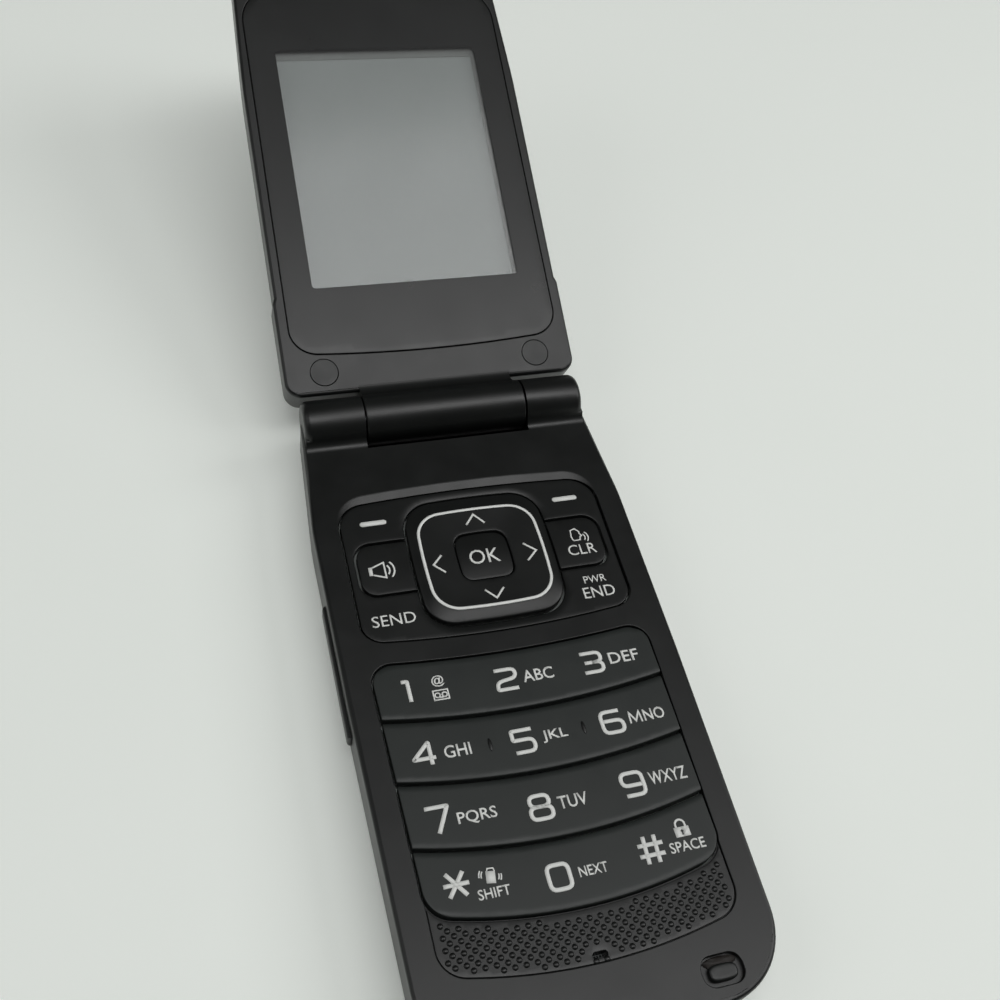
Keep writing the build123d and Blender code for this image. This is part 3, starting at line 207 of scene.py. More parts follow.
def plan_of(node, height, spacing, place=base_place):
    """The outlines of a CAD node at one height of its flat frame, as evenly spaced points, largest first."""
    work = merged(node, place)
    bmesh.ops.bisect_plane(work, geom=work.verts[:] + work.edges[:] + work.faces[:], dist=merge_distance / 10,
                           plane_co=(0, 0, height), plane_no=(0, 0, 1), clear_inner=True, clear_outer=True)
    bmesh.ops.remove_doubles(work, verts=work.verts, dist=merge_distance * 2)
    loops, left = [], set(work.verts)
    while left:
        start = left.pop()
        loop, here = [start], start
        while True:
            ahead = [edge.other_vert(here) for edge in here.link_edges if edge.other_vert(here) in left]
            if not ahead:
                break
            here = ahead[0]
            left.discard(here)
            loop.append(here)
        if len(loop) > 5:
            loops.append(np.array([vertex.co.xy for vertex in loop]))
    work.free()
    loops.sort(key=lambda loop: -abs(area_of(loop)))
    return [evenly(loop if (area_of(loop) > 0) == (i == 0) else loop[::-1], spacing)
            for i, loop in enumerate(loops)]


def area_of(loop):
    """The area inside a closed outline, positive where it runs anticlockwise."""
    x, y = loop[:, 0], loop[:, 1]
    return 0.5 * np.sum(x * np.roll(y, -1) - np.roll(x, -1) * y)


def evenly(loop, spacing):
    """A closed outline with its points spread evenly."""
    closed = np.vstack([loop, loop[:1]])
    run = np.concatenate([[0], np.cumsum(np.linalg.norm(np.diff(closed, axis=0), axis=1))])
    stops = np.linspace(0, run[-1], max(12, round(run[-1] / spacing)), endpoint=False)
    return np.column_stack([np.interp(stops, run, closed[:, 0]), np.interp(stops, run, closed[:, 1])])


def inset(loop, distance):
    """An outline moved into its material, which lies on its left."""
    along = np.roll(loop, -1, axis=0) - np.roll(loop, 1, axis=0)
    along /= np.linalg.norm(along, axis=1)[:, None]
    return loop + distance * np.column_stack([-along[:, 1], along[:, 0]])


def inside(points, loops):
    """Which points lie inside the first outline and outside the others."""
    odd = np.zeros(len(points), bool)
    for loop in loops:
        for (x1, y1), (x2, y2) in zip(loop, np.roll(loop, -1, axis=0)):
            crossing = (y1 > points[:, 1]) != (y2 > points[:, 1])
            if crossing.any():
                odd ^= crossing & (points[:, 0] < x1 + (points[:, 1] - y1) / (y2 - y1) * (x2 - x1))
    return odd


def distance_to(loop):
    """A function that gives how far a point is from an outline."""
    tree = KDTree(len(loop))
    for i, (x, y) in enumerate(loop):
        tree.insert((x, y, 0), i)
    tree.balance()
    return lambda x, y: tree.find((x, y, 0))[2]


def filled(loops, spacing, creases=()):
    """Triangles between the outlines, over their own points and a staggered lattice of points inside.

    A crease is a closed line inside them that the triangles keep to.
    """
    lines = list(loops) + list(creases)
    low, high = loops[0].min(axis=0), loops[0].max(axis=0)
    rows = np.arange(low[1], high[1], spacing * lattice_rise)
    columns = np.arange(low[0], high[0], spacing)
    lattice = np.array([(x + (row % 2) * spacing / 2, y) for row, y in enumerate(rows) for x in columns])
    near = distance_to(np.vstack(lines))
    kept = lattice[inside(lattice, loops)]
    kept = np.array([point for point in kept if near(*point) > lattice_clear * spacing])
    points = np.vstack(lines + ([kept] if len(kept) else []))
    edges, first = [], 0
    for loop in lines:
        count = len(loop)
        edges += [(first + i, first + (i + 1) % count) for i in range(count)]
        first += count
    found, _, faces, sources, _, _ = delaunay_2d_cdt([Vector(p) for p in points], edges, [], 1, 1e-9)
    found = np.array([tuple(v) for v in found])
    middles = np.array([found[list(face)].mean(axis=0) for face in faces])
    faces = [face for face, kept in zip(faces, inside(middles, loops)) if kept]
    return found, faces, sources


def moulding(loops, height, radius, bottom, spacing, creases=(), steps=4):
    """A closed slab over the outlines: a top that follows height(x, y), rounded rims and upright walls."""
    work = bmesh.new()
    top_rings, rims = [], []
    for loop in loops:
        rim = [[work.verts.new((x, y, bottom)) for x, y in loop]]
        for step in range(steps + 1):
            angle = math.pi / 2 * step / steps
            ring = inset(loop, radius * (1 - math.cos(angle)))
            drop = radius * (1 - math.sin(angle))
            rim.append([work.verts.new((x, y, height(x, y) - drop)) for x, y in ring])
        top_rings.append(ring)
        rims.append(rim)
        for below, above in zip(rim, rim[1:]):
            for i in range(len(loop)):
                j = (i + 1) % len(loop)
                work.faces.new((below[i], below[j], above[j], above[i]))
    for level, rings, top in ((-1, top_rings, True), (0, loops, False)):
        own = [vertex for rim in rims for vertex in rim[level]]
        points, faces, sources = filled(rings, spacing if top else 4 * spacing, creases)
        corners = [own[source[0]] if source and source[0] < len(own)
                   else work.verts.new((x, y, height(x, y) if top else bottom))
                   for (x, y), source in zip(points, sources)]
        for face in faces:
            order = face if top else face[::-1]
            work.faces.new([corners[i] for i in order])
    return work


key_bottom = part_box("function_plate")[0].z + 0.5 * mm
# soft-touch lacquer: near-black and even, a little smoother than the shell
key_lacquer = mottled("soft_touch_lacquer", {"IOR": 1.47}, key_colours, key_roughness, mottle_pitch,
                      grain_pitch, grain_depth / 2)

plate_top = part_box("function_plate")[1].z
plate_plan = plan_of("function_plate", plate_top - 0.3 * mm, outline_spacing)
plate_plan = [inset(loop, key_setback) for loop in plate_plan]
nav_low, nav_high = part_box("nav_ring")
collar_outline = plan_of("nav_ring", nav_low.z + 1.1 * mm, outline_spacing)[0]
from_collar = distance_to(collar_outline)


def plate_height(x, y):
    near = max(0.0, 1 - from_collar(x, y) / dish_width)
    return plate_top - dish_depth * near ** dish_power


plate_work = moulding(plate_plan, plate_height, plate_edge_radius, key_bottom, plate_spacing)
piece_of("function_plate_skin", plate_work, key_lacquer, "function_plate")

# ---- Speaker and CLR keys
# Two flat keys in the notches of the plate on both sides of the navigation key, each a moulding of its
# own in the same plastic and lacquer. Their tops drop a little to the upper and lower rims.
side_key_crown = 0.12 * mm


def side_key(node):
    """Makes one of the two keys, and gives the height of its top."""
    low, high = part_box(node)
    middle, half = (low + high) / 2, (high - low) / 2
    plan = inset(plan_of(node, high.z - 0.4 * mm, outline_spacing)[0], key_setback)

    def height(x, y):
        return high.z - side_key_crown * ((y - middle.y) / half.y) ** 2

    work = moulding([plan], height, plate_edge_radius, key_bottom, plate_spacing)
    piece_of(node + "_skin", work, key_lacquer, node)
    return height


speaker_height, clear_height = side_key("speaker_key"), side_key("clear_key")

# ---- Navigation key
# A rounded square that tilts four ways: a sloping collar up to a white line moulded flush in its
# rim, and a top face dished towards the separate OK key. Semi-gloss polycarbonate.
nav_dish, collar_rise, collar_rim_radius, nav_sink = 0.28 * mm, 0.62 * mm, 0.22 * mm, 0.12 * mm
collar_power, nav_spacing, fine_spacing = 1.2, 0.4 * mm, 0.2 * mm
line_width, line_film = 0.45 * mm, 0.03 * mm
collar_drawn_in, rim_drawn_out = 0.2 * mm, 0.35 * mm
nav_middle, nav_top = (nav_low + nav_high) / 2, nav_high.z - nav_sink


def lower_side_moved(loop, distance):
    """The key's outline with its lower side moved down, and the sides stretched to meet it."""
    reach = nav_middle.y - loop[:, 1].min()
    moved = loop.copy()
    moved[:, 1] -= distance * np.clip((nav_middle.y - loop[:, 1]) / reach, 0, 1)
    return moved


collar_plan = lower_side_moved(collar_outline, -collar_drawn_in)
rim_plan = lower_side_moved(plan_of("nav_ring", nav_high.z - 0.03 * mm, outline_spacing)[0], rim_drawn_out)
ok_hole = plan_of("nav_ring", nav_high.z - 0.3 * mm, fine_spacing)[1]


def reach_of(loop):
    """A function that gives an outline's distance from the key's middle, in any direction."""
    spokes = loop - np.array(nav_middle.xy)
    angles = np.arctan2(spokes[:, 1], spokes[:, 0])
    order = np.argsort(angles)
    angles, lengths = angles[order], np.linalg.norm(spokes, axis=1)[order]
    return lambda angle: np.interp(angle, angles, lengths, period=math.tau)


collar_reach, rim_reach = reach_of(collar_plan), reach_of(rim_plan)


def nav_height(x, y):
    out = math.hypot(x - nav_middle.x, y - nav_middle.y)
    angle = math.atan2(y - nav_middle.y, x - nav_middle.x)
    rim, collar = rim_reach(angle), collar_reach(angle)
    if out > rim:
        return nav_top - collar_rise * ((out - rim) / (collar - rim)) ** collar_power
    return nav_top - nav_dish * (1 - (out / rim) ** 2)


nav_work = moulding([collar_plan, ok_hole], nav_height, collar_rim_radius, nav_low.z, nav_spacing,
                    creases=[rim_plan])
piece_of("nav_ring_skin", nav_work, key_lacquer, "nav_ring")

# white polystyrene: a plain bright white that catches the light evenly
white_line = mottled("white_polystyrene", {"IOR": 1.59}, ("#FBFCFA", "#F4F6F2"), (0.35, 0.45), 2 * mm,
                     0.2 * mm, 0.002 * mm)
line_work = bmesh.new()
sides = [inset(rim_plan, offset) for offset in (-line_width / 2, 0, line_width / 2)]
rows = [[line_work.verts.new((x, y, nav_height(x, y) + line_film)) for x, y in side] for side in sides]
for outer, inner in zip(rows, rows[1:]):
    for i in range(len(rim_plan)):
        j = (i + 1) % len(rim_plan)
        line_work.faces.new((outer[i], outer[j], inner[j], inner[i]))
line = piece_of("nav_white_line", line_work, white_line, "nav_ring", stands_for=False)
body = line.modifiers.new("depth_of_the_line", "SOLIDIFY")
body.thickness, body.offset = 2 * line_film, -1

# ---- OK key
# The round-cornered key in the middle of the navigation key, a piece of its own that goes down through
# it: slightly domed polycarbonate, lacquered and printed like the others.
ok_dome, ok_edge_radius, ok_foot = 0.3 * mm, 0.15 * mm, 0.5 * mm
ok_low, ok_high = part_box("ok_key")
ok_middle, ok_half = (ok_low + ok_high) / 2, (ok_high.y - ok_low.y) / 2


def ok_height(x, y):
    return ok_high.z - nav_sink - ok_dome * ((x - ok_middle.x) ** 2 + (y - ok_middle.y) ** 2) / ok_half ** 2


ok_plan = plan_of("ok_key", ok_high.z - 0.6 * mm, fine_spacing)[:1]
ok_work = moulding(ok_plan, ok_height, ok_edge_radius, ok_low.z + ok_foot, nav_spacing)
piece_of("ok_key_skin", ok_work, key_lacquer, "ok_key")

# ---- Rows of number keys
# Four curved strips, one under the other, each moulded in one piece with three keys. A strip rises
# from its upper edge to a rounded crest along its lower edge, which the thumb feels.
crest_setback, crest_drop, row_fall, row_spacing = 0.55 * mm, 0.1 * mm, 0.42 * mm, 0.4 * mm
row_bow, edge_slope = 0.2, 1.5
row_edge_radius, tuck_width, tuck_depth = 0.12 * mm, 0.7 * mm, 0.22 * mm
mark_half_width, mark_half_length, mark_rise = 0.27 * mm, 1.0 * mm, 0.2 * mm
mark_places = (-6.7 * mm, -9.0 * mm), (6.7 * mm, -9.0 * mm)
row_heights = {}

# the same lacquer, rougher, with its colour painted lighter and greyer: painted light that stands in for the
# brighter light the strips catch
lightened_row_lacquer = mottled("lightened_soft_touch_lacquer", {"IOR": 1.5}, ("#212524", "#2A2E2C"), (0.42, 0.52), 7 * mm,
                       grain_pitch, grain_depth / 2)


def lower_edge(loop):
    """A function that gives the y of an outline's lower edge at any x, from its nearly level points."""
    along = np.roll(loop, -1, axis=0) - np.roll(loop, 1, axis=0)
    chain = loop[along[:, 0] > edge_slope * np.abs(along[:, 1])]
    chain = chain[np.argsort(chain[:, 0])]
    return lambda x: np.interp(x, chain[:, 0], chain[:, 1])


def key_row(node):
    """Makes one strip of keys, a little narrower than its solid, and keeps the height of its top."""
    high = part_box(node)[1]
    plan = plan_of(node, plate_top - 0.4 * mm, outline_spacing)[:1]
    plan[0][:, 0] *= 1 - key_setback / high.x
    bottom_of, top_of = lower_edge(plan[0]), lower_edge(-plan[0])

    def height(x, y):
        edge, length = bottom_of(x), max(-top_of(-x) - bottom_of(x), 1 * mm)
        up = y - edge
        if up < crest_setback:
            return high.z - crest_drop * (1 - max(up, 0) / crest_setback) ** 2
        fall = (up - crest_setback) / (length - crest_setback)
        tuck = max(0.0, 1 - (length - up) / tuck_width)
        return high.z - row_fall * ((1 - row_bow) * fall + row_bow * fall ** 2) - tuck_depth * tuck ** 2

    work = moulding(plan, height, row_edge_radius, key_bottom, row_spacing)
    # the strips get the lighter copy of the lacquer, whose paler colour is painted light
    piece_of(node + "_skin", work, lightened_row_lacquer, node)
    row_heights[node] = height


for row in range(1, 5):
    key_row(f"key_row_{row}")

# two raised strokes beside the 5, moulded on the second strip, which the thumb finds without looking
marks_work = bmesh.new()
for x, y in mark_places:
    made = bmesh.ops.create_uvsphere(marks_work, u_segments=20, v_segments=12, radius=1)["verts"]
    bmesh.ops.scale(marks_work, vec=(mark_half_width, mark_half_length, mark_rise), verts=made)
    bmesh.ops.translate(marks_work, vec=(x, y, row_heights["key_row_2"](x, y)), verts=made)
piece_of("touch_marks", marks_work, key_lacquer, "key_row_2", stands_for=False)

# ---- Legends
# White two-part ink, pad-printed on the lacquered keys: squared digits, small letters beside them,
# and a few signs. The film is about 0.02 mm thick.
ink_lift, ink_film = 0.012 * mm, 0.02 * mm
digit_stroke, round_corner, tight_corner = 0.56 * mm, 0.85 * mm, 0.2 * mm
legend_shift, stroke_step, thin = -0.22 * mm, 0.6 * mm, 0.002

# pad-printed ink: a flat white with slightly uneven cover
ink = mottled("pad_printed_ink", {"IOR": 1.5}, ("#F8F9F6", "#EEF0EC"), (0.5, 0.6), 1.5 * mm, 0.15 * mm,
              0.001 * mm)


def rounded(points, radii, closed):
    """A line with each corner drawn as a short curve of its own radius."""
    line, count = [], len(points)
    for i, (corner, radius) in enumerate(zip(points, radii)):
        before, after = points[i - 1] - corner, points[(i + 1) % count] - corner
        if radius == 0 or (not closed and i in (0, count - 1)):
            line.append(corner)
            continue
        start = corner + before * min(radius / before.length, 0.5)
        end = corner + after * min(radius / after.length, 0.5)
        line += [start.lerp(corner, t).lerp(corner.lerp(end, t), t) for t in (0, 0.25, 0.5, 0.75, 1)]
    return line


def stroke(points, width, radii=None, closed=False):
    """A drawing of one line of ink, as flat points and faces."""
    line = rounded([Vector(point) for point in points], radii or [0] * len(points), closed)
    if closed:
        line.append(line[0])
    fine = [line[0]]
    for start, end in zip(line, line[1:]):
        length = (end - start).length
        parts = max(1, math.ceil(length / stroke_step))
        fine += [start.lerp(end, (k + 1) / parts) for k in range(parts) if length > merge_distance]
    if closed:
        fine.pop()
    sides, count = [], len(fine)
    for i, here in enumerate(fine):
        before = fine[i - 1] if closed or i else here
        after = fine[(i + 1) % count] if closed or i < count - 1 else here
        back, ahead = (here - before).normalized(), (after - here).normalized()
        along = (back + ahead).normalized()
        widen = 1 / max(0.5, along.dot(ahead if ahead.length else back))
        side = Vector((-along.y, along.x)) * width / 2 * widen
        sides += [here + side, here - side]
    last = count if closed else count - 1
    faces = [(2 * i + 1, 2 * ((i + 1) % count) + 1, 2 * ((i + 1) % count), 2 * i) for i in range(last)]
    return sides, faces


def boxed(points, x, y):
    """Points given as shares of a box, in their places."""
    return [(x[0] + px * (x[1] - x[0]), y[0] + py * (y[1] - y[0])) for px, py in points]


def lettering(text, x, y, weight):
    """A word in a plain sans-serif face that fills a box, as flat points and faces."""
    curve = bpy.data.curves.new("lettering", "FONT")
    curve.body, curve.resolution_u, curve.offset = text, 3, weight
    holder = bpy.data.objects.new("lettering", curve)
    mesh = bpy.data.meshes.new_from_object(holder)
    points = np.array([vertex.co.xy for vertex in mesh.vertices])
    faces = [tuple(face.vertices) for face in mesh.polygons]
    points = (points - points.min(axis=0)) / (points.max(axis=0) - points.min(axis=0))
    bpy.data.objects.remove(holder)
    bpy.data.meshes.remove(mesh)
    return [Vector(point) for point in boxed(points, x, y)], faces


def arc(centre, radius, start, end, steps=10):
    """Points along an arc, with its angles in degrees."""
    angles = [math.radians(start + (end - start) * k / steps) for k in range(steps + 1)]
    return [(centre[0] + radius * math.cos(a), centre[1] + radius * math.sin(a)) for a in angles]


def printed(name, node, drawings, height):
    """One film of ink on a key, from flat drawings laid on its top."""
    work = bmesh.new()
    for points, faces in drawings:
        places = [(x, y + legend_shift) for x, y in points]
        corners = [work.verts.new((x, y, height(x, y) + ink_lift)) for x, y in places]
        for face in faces:
            work.faces.new([corners[i] for i in face])
    piece = piece_of(name, work, ink, node, stands_for=False)
    film = piece.modifiers.new("film_of_ink", "SOLIDIFY")
    film.thickness, film.offset = ink_film, 1


# each digit's lines as shares of its box. A line is its points, which of their corners are tight, and
# whether it closes
digit_lines = {
    "1": [([(0, 1), (0.85, 1), (0.85, 0)], (1,), False)],
    "2": [([(0, 1), (1, 1), (1, 0.54), (0.04, 0.4), (0, 0), (1, 0)], (4,), False)],
    "3": [([(0, 1), (1, 1), (1, 0.5), (0.12, 0.5)], (), False),
          ([(0.5, 0.5), (1, 0.5), (1, 0), (0, 0)], (), False)],
    "4": [([(0.78, 0), (0.78, 1), (0, 0.3), (1, 0.3)], (1, 2), False)],
    "5": [([(1, 1), (0, 1), (0, 0.56), (1, 0.56), (1, 0), (0, 0)], (1, 2), False)],
    "6": [([(0.95, 1), (0, 1), (0, 0), (1, 0), (1, 0.56), (0.06, 0.56)], (), False)],
    "7": [([(0, 1), (1, 1), (0.42, 0)], (1,), False)],
    "8": [([(0.06, 1), (0.94, 1), (0.94, 0.52), (0.06, 0.52)], (), True),
          ([(0, 0.52), (1, 0.52), (1, 0), (0, 0)], (), True)],
    "9": [([(0.05, 0), (1, 0), (1, 1), (0, 1), (0, 0.44), (0.94, 0.44)], (), False)],
    "0": [([(0, 0), (1, 0), (1, 1), (0, 1)], (), True)],
    "*": [([(0, 0.5), (1, 0.5)], (), False), ([(0.16, 0.95), (0.84, 0.05)], (), False),
          ([(0.84, 0.95), (0.16, 0.05)], (), False)],
    "#": [([(0.26, 0), (0.32, 1)], (), False), ([(0.68, 0), (0.74, 1)], (), False),
          ([(0, 0.3), (0.98, 0.3)], (), False), ([(0.02, 0.68), (1, 0.68)], (), False)],
}


def digit(sign, x, y):
    """The drawings of one squared digit whose ink fills a box."""
    half = digit_stroke / 2
    x, y = (x[0] * mm + half, x[1] * mm - half), (y[0] * mm + half, y[1] * mm - half)
    drawings = []
    for points, tight, closed in digit_lines[sign]:
        radii = [tight_corner if i in tight else round_corner for i in range(len(points))]
        drawings.append(stroke(boxed(points, x, y), digit_stroke, radii, closed))
    return drawings


def word(text, x, y, weight=0.012):
    """The drawing of a word that fills a box in millimetres."""
    return [lettering(text, (x[0] * mm, x[1] * mm), (y[0] * mm, y[1] * mm), weight)]


def sign(lines, width):
    """Drawings of a small sign from lines in millimetres."""
    return [stroke([(x * mm, y * mm) for x, y in line], width) for line in lines]


def solid_sign(points):
    """The drawing of a filled shape from its corners in millimetres."""
    return [([Vector((x * mm, y * mm)) for x, y in points], [tuple(range(len(points)))])]


tape_sign = sign([arc((-12.1, -0.35), 0.36, 0, 360), arc((-11.1, -0.35), 0.36, 0, 360),
                  [(-12.1, -0.71), (-11.1, -0.71)],
                  [(-12.65, -1.05), (-10.55, -1.05), (-10.55, 0.4), (-12.65, 0.4), (-12.65, -1.17)]], 0.2 * mm)
phone_sign = solid_sign([(-11.75, -26.75), (-10.55, -26.95), (-10.35, -25.4), (-11.55, -25.2)])
phone_sign += sign([[(-11.4, -25.3), (-11.25, -24.9), (-10.5, -24.98), (-10.4, -25.4)],
                    arc((-11.1, -25.9), 1.15, 140, 185, 4), arc((-11.1, -25.9), 1.45, 142, 180, 4),
                    arc((-11.1, -25.9), 1.15, -35, 5, 4), arc((-11.1, -25.9), 1.45, -32, 2, 4)], 0.18 * mm)
# the lock's body goes round its keyhole, so it is drawn as two halves
lock_half = ((0, -24.85), (0, -25.2), (0.24, -25.4), (0.1, -25.62), (0.13, -25.95), (0, -25.95), (0, -26.2),
             (1.05, -26.2), (1.05, -24.85))
lock_sign = [drawing for side in (-1, 1)
             for drawing in solid_sign([(15.4 + side * x, y) for x, y in lock_half][::side])]
lock_sign += sign([[(14.75, -24.9), (14.75, -24.5)] + arc((15.4, -24.5), 0.65, 180, 0) + [(16.05, -24.9)]],
                  0.28 * mm)
letter_m = sign([[(13.5, -9.5), (13.62, -7.78), (14.35, -9.2), (15.08, -7.78), (15.2, -9.5)]], 0.26 * mm)
row_legends = {
    "1": digit("1", (-16.95, -15.4), (-0.95, 2.8)) + word("@", (-12.5, -10.7), (0.95, 2.75)) + tape_sign
         + digit("2", (-3.8, -0.3), (-1.5, 2.15)) + word("ABC", (0.35, 4.85), (-0.65, 1.25))
         + digit("3", (9.1, 12.6), (-1.15, 2.5)) + word("DEF", (13.45, 17.95), (-0.1, 1.75)),
    "2": digit("4", (-17.6, -14.0), (-10.34, -6.5)) + word("GHI", (-13.1, -9.4), (-9.6, -7.75))
         + digit("5", (-3.8, -0.35), (-11.0, -7.2)) + word("JKL", (0.6, 4.25), (-10.0, -8.15))
         + digit("6", (9.15, 12.7), (-10.6, -6.85)) + letter_m + word("NO", (15.6, 18.7), (-9.5, -7.7)),
    "3": digit("7", (-17.7, -14.1), (-19.65, -15.55)) + word("PQRS", (-13.45, -8.15), (-18.95, -17.05))
         + digit("8", (-4.1, -0.55), (-20.45, -16.65)) + word("TUV", (0.1, 4.2), (-19.4, -17.6))
         + digit("9", (9.15, 12.7), (-19.8, -16.05)) + word("WXYZ", (13.35, 18.75), (-18.6, -16.75)),
    "4": digit("*", (-17.5, -13.6), (-28.1, -24.1)) + phone_sign + word("SHIFT", (-13.2, -9.0), (-28.7, -27.35))
         + digit("0", (-4.15, -0.75), (-29.75, -26.0)) + word("NEXT", (0.2, 4.1), (-28.5, -27.15))
         + digit("#", (8.4, 12.55), (-29.1, -24.8)) + lock_sign
         + word("SPACE", (12.95, 17.9), (-28.15, -26.7)),
}
for row, drawings in row_legends.items():
    printed("legends_row_" + row, "key_row_" + row, drawings, row_heights["key_row_" + row])

bar_x, bar_y, bar_half, bar_radius = 15.3, 29.6, 1.62, 0.42
soft_bars = [drawing for side in (-1, 1)
             for drawing in solid_sign(arc((side * bar_x + bar_half, bar_y), bar_radius, -90, 90)
                                       + arc((side * bar_x - bar_half, bar_y), bar_radius, 90, 270))]
printed("legends_function_plate", "function_plate",
        soft_bars + word("SEND", (-18.7, -12.3), (11.8, 13.65), thin)
        + word("PWR", (13.95, 17.45), (13.85, 15.1), thin)
        + word("END", (13.25, 18.2), (11.3, 13.15), thin), plate_height)
speaker_sign = solid_sign([(-17.55, 20.4), (-17.0, 20.4), (-17.0, 21.85), (-17.55, 21.85)])
speaker_sign += sign([[(-17.0, 20.5), (-15.15, 19.8), (-15.15, 22.45), (-17.0, 21.75)],
                      arc((-15.6, 21.1), 1.15, -42, 42), arc((-15.6, 21.1), 1.85, -45, 45)], 0.26 * mm)
printed("legends_speaker_key", "speaker_key", speaker_sign, speaker_height)
voice_sign = sign([[(14.45, 21.6), (14.3, 22.3), (14.45, 23.5), (15.2, 23.75), (15.75, 23.1), (15.7, 22.8),
                    (16.0, 22.35), (15.7, 22.2), (15.55, 21.6), (14.45, 21.6)],
                   arc((15.7, 22.0), 0.75, -45, 50, 6), arc((15.7, 22.0), 1.25, -42, 48, 6)], 0.2 * mm)
printed("legends_clear_key", "clear_key",
        voice_sign + word("CLR", (13.1, 17.6), (19.0, 20.85), thin), clear_height)
arrows = sign([[(-1.45, 26.75), (0, 28.45), (1.45, 26.75)], [(-1.45, 15.05), (0, 13.4), (1.45, 15.05)],
               [(-6.45, 22.0), (-8.0, 20.45), (-6.45, 18.95)], [(6.3, 22.1), (8.0, 20.55), (6.3, 19.0)]], 0.3 * mm)
printed("legends_nav_ring", "nav_ring", arrows, nav_height)
printed("legend_ok_key", "ok_key", word("OK", (-2.4, 2.3), (19.6, 22.1), thin), ok_height)

# ---- Chin inlay
# A thin PC/ABS inlay under the keys, with the slot of the microphone. Staggered rows of pips, moulded
# with it, give the thumb a grip.
inlay_drop, inlay_edge_radius, inlay_spacing, field_spacing = 0.12 * mm, 0.1 * mm, 0.6 * mm, 2 * mm
pip_pitch_across, pip_pitch_along, pip_radius, pip_height = 1.43 * mm, 0.74 * mm, 0.46 * mm, 0.34 * mm
pip_sink, pip_margin, field_lift = 0.15 * mm, 0.62 * mm, 0.001 * mm
inlay_low, inlay_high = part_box("chin_inlay")
inlay_top = inlay_high.z - inlay_drop
inlay_plan = plan_of("chin_inlay", inlay_top - inlay_edge_radius, fine_spacing)
inlay_work = moulding(inlay_plan, lambda x, y: inlay_top, inlay_edge_radius, inlay_low.z, inlay_spacing)
piece_of("chin_inlay_skin", inlay_work, shell_plastic, "chin_inlay")


def maths(tree, operation, first, second=0.5):
    """The output of one step of arithmetic."""
    return add(tree, "ShaderNodeMath", {"operation": operation, 0: first, 1: second}).outputs[0]


def staggered_pips():
    """A node tree that puts a low dome on each point of a staggered lattice that lies over its geometry."""
    tree = bpy.data.node_groups.new("staggered_pips", "GeometryNodeTree")
    tree.interface.new_socket(name="Field", in_out="INPUT", socket_type="NodeSocketGeometry")
    for name in ("Pitch across", "Pitch along", "Pip radius", "Pip height", "Sink"):
        tree.interface.new_socket(name=name, in_out="INPUT", socket_type="NodeSocketFloat")
    tree.interface.new_socket(name="Centre", in_out="INPUT", socket_type="NodeSocketVector")
    tree.interface.new_socket(name="Material", in_out="INPUT", socket_type="NodeSocketMaterial")
    tree.interface.new_socket(name="Pips", in_out="OUTPUT", socket_type="NodeSocketGeometry")
    given = add(tree, "NodeGroupInput", {}).outputs
    columns, lines = 31, 31
    width = maths(tree, "MULTIPLY", given["Pitch across"], columns - 1.0)
    length = maths(tree, "MULTIPLY", given["Pitch along"], lines - 1.0)
    grid = add(tree, "GeometryNodeMeshGrid", {"Vertices X": columns, "Vertices Y": lines, "Size X": width,
                                              "Size Y": length})
    place = add(tree, "GeometryNodeInputPosition", {})
    parts = add(tree, "ShaderNodeSeparateXYZ", {"Vector": place.outputs[0]})
    line = maths(tree, "ROUND", maths(tree, "DIVIDE", parts.outputs["Y"], given["Pitch along"]))
    odd = maths(tree, "FLOORED_MODULO", line, 2.0)
    shift = maths(tree, "MULTIPLY", odd, maths(tree, "MULTIPLY", given["Pitch across"], 0.5))
    along = add(tree, "ShaderNodeCombineXYZ", {"X": shift})
    middle = add(tree, "ShaderNodeVectorMath", {"operation": "ADD", 0: along.outputs[0], 1: given["Centre"]})
    moved = add(tree, "GeometryNodeSetPosition", {"Geometry": grid.outputs["Mesh"],
                                                  "Offset": middle.outputs[0]})
    over = add(tree, "GeometryNodeRaycast", {"Target Geometry": given["Field"], "Ray Direction": (0, 0, -1),
                                             "Ray Length": 5 * mm})
    dome = add(tree, "GeometryNodeMeshUVSphere", {"Segments": 10, "Rings": 6, "Radius": 1.0})
    size = add(tree, "ShaderNodeCombineXYZ", {"X": given["Pip radius"], "Y": given["Pip radius"],
                                              "Z": given["Pip height"]})
    spread = add(tree, "GeometryNodeInstanceOnPoints", {
        "Points": moved.outputs[0], "Selection": over.outputs["Is Hit"], "Instance": dome.outputs["Mesh"],
        "Scale": size.outputs[0]})
    real = add(tree, "GeometryNodeRealizeInstances", {"Geometry": spread.outputs[0]})
    below = add(tree, "ShaderNodeCombineXYZ", {"Z": maths(tree, "MULTIPLY", given["Sink"], -1.0)})
    real = add(tree, "GeometryNodeSetPosition", {"Geometry": real.outputs[0], "Offset": below.outputs[0]})
    smooth = add(tree, "GeometryNodeSetShadeSmooth", {"Geometry": real.outputs[0]})
    dressed = add(tree, "GeometryNodeSetMaterial", {"Geometry": smooth.outputs[0],
                                                    "Material": given["Material"]})
    add(tree, "NodeGroupOutput", {"Pips": dressed.outputs[0]})
    return tree


def grown(name, field, tree, values):
    """The plain mesh that a node tree makes over a field, with its inputs set by name."""
    holder = bpy.data.objects.new(name, field)
    bpy.context.scene.collection.objects.link(holder)
    maker = holder.modifiers.new("maker", "NODES")
    maker.node_group = tree
    for item in tree.interface.items_tree:
        if item.in_out == "INPUT" and item.name in values:
            maker[item.identifier] = values[item.name]
    bpy.context.view_layer.update()
    made = bpy.data.meshes.new_from_object(holder.evaluated_get(bpy.context.evaluated_depsgraph_get()))
    bpy.data.objects.remove(holder)
    bpy.data.meshes.remove(field)
    return made


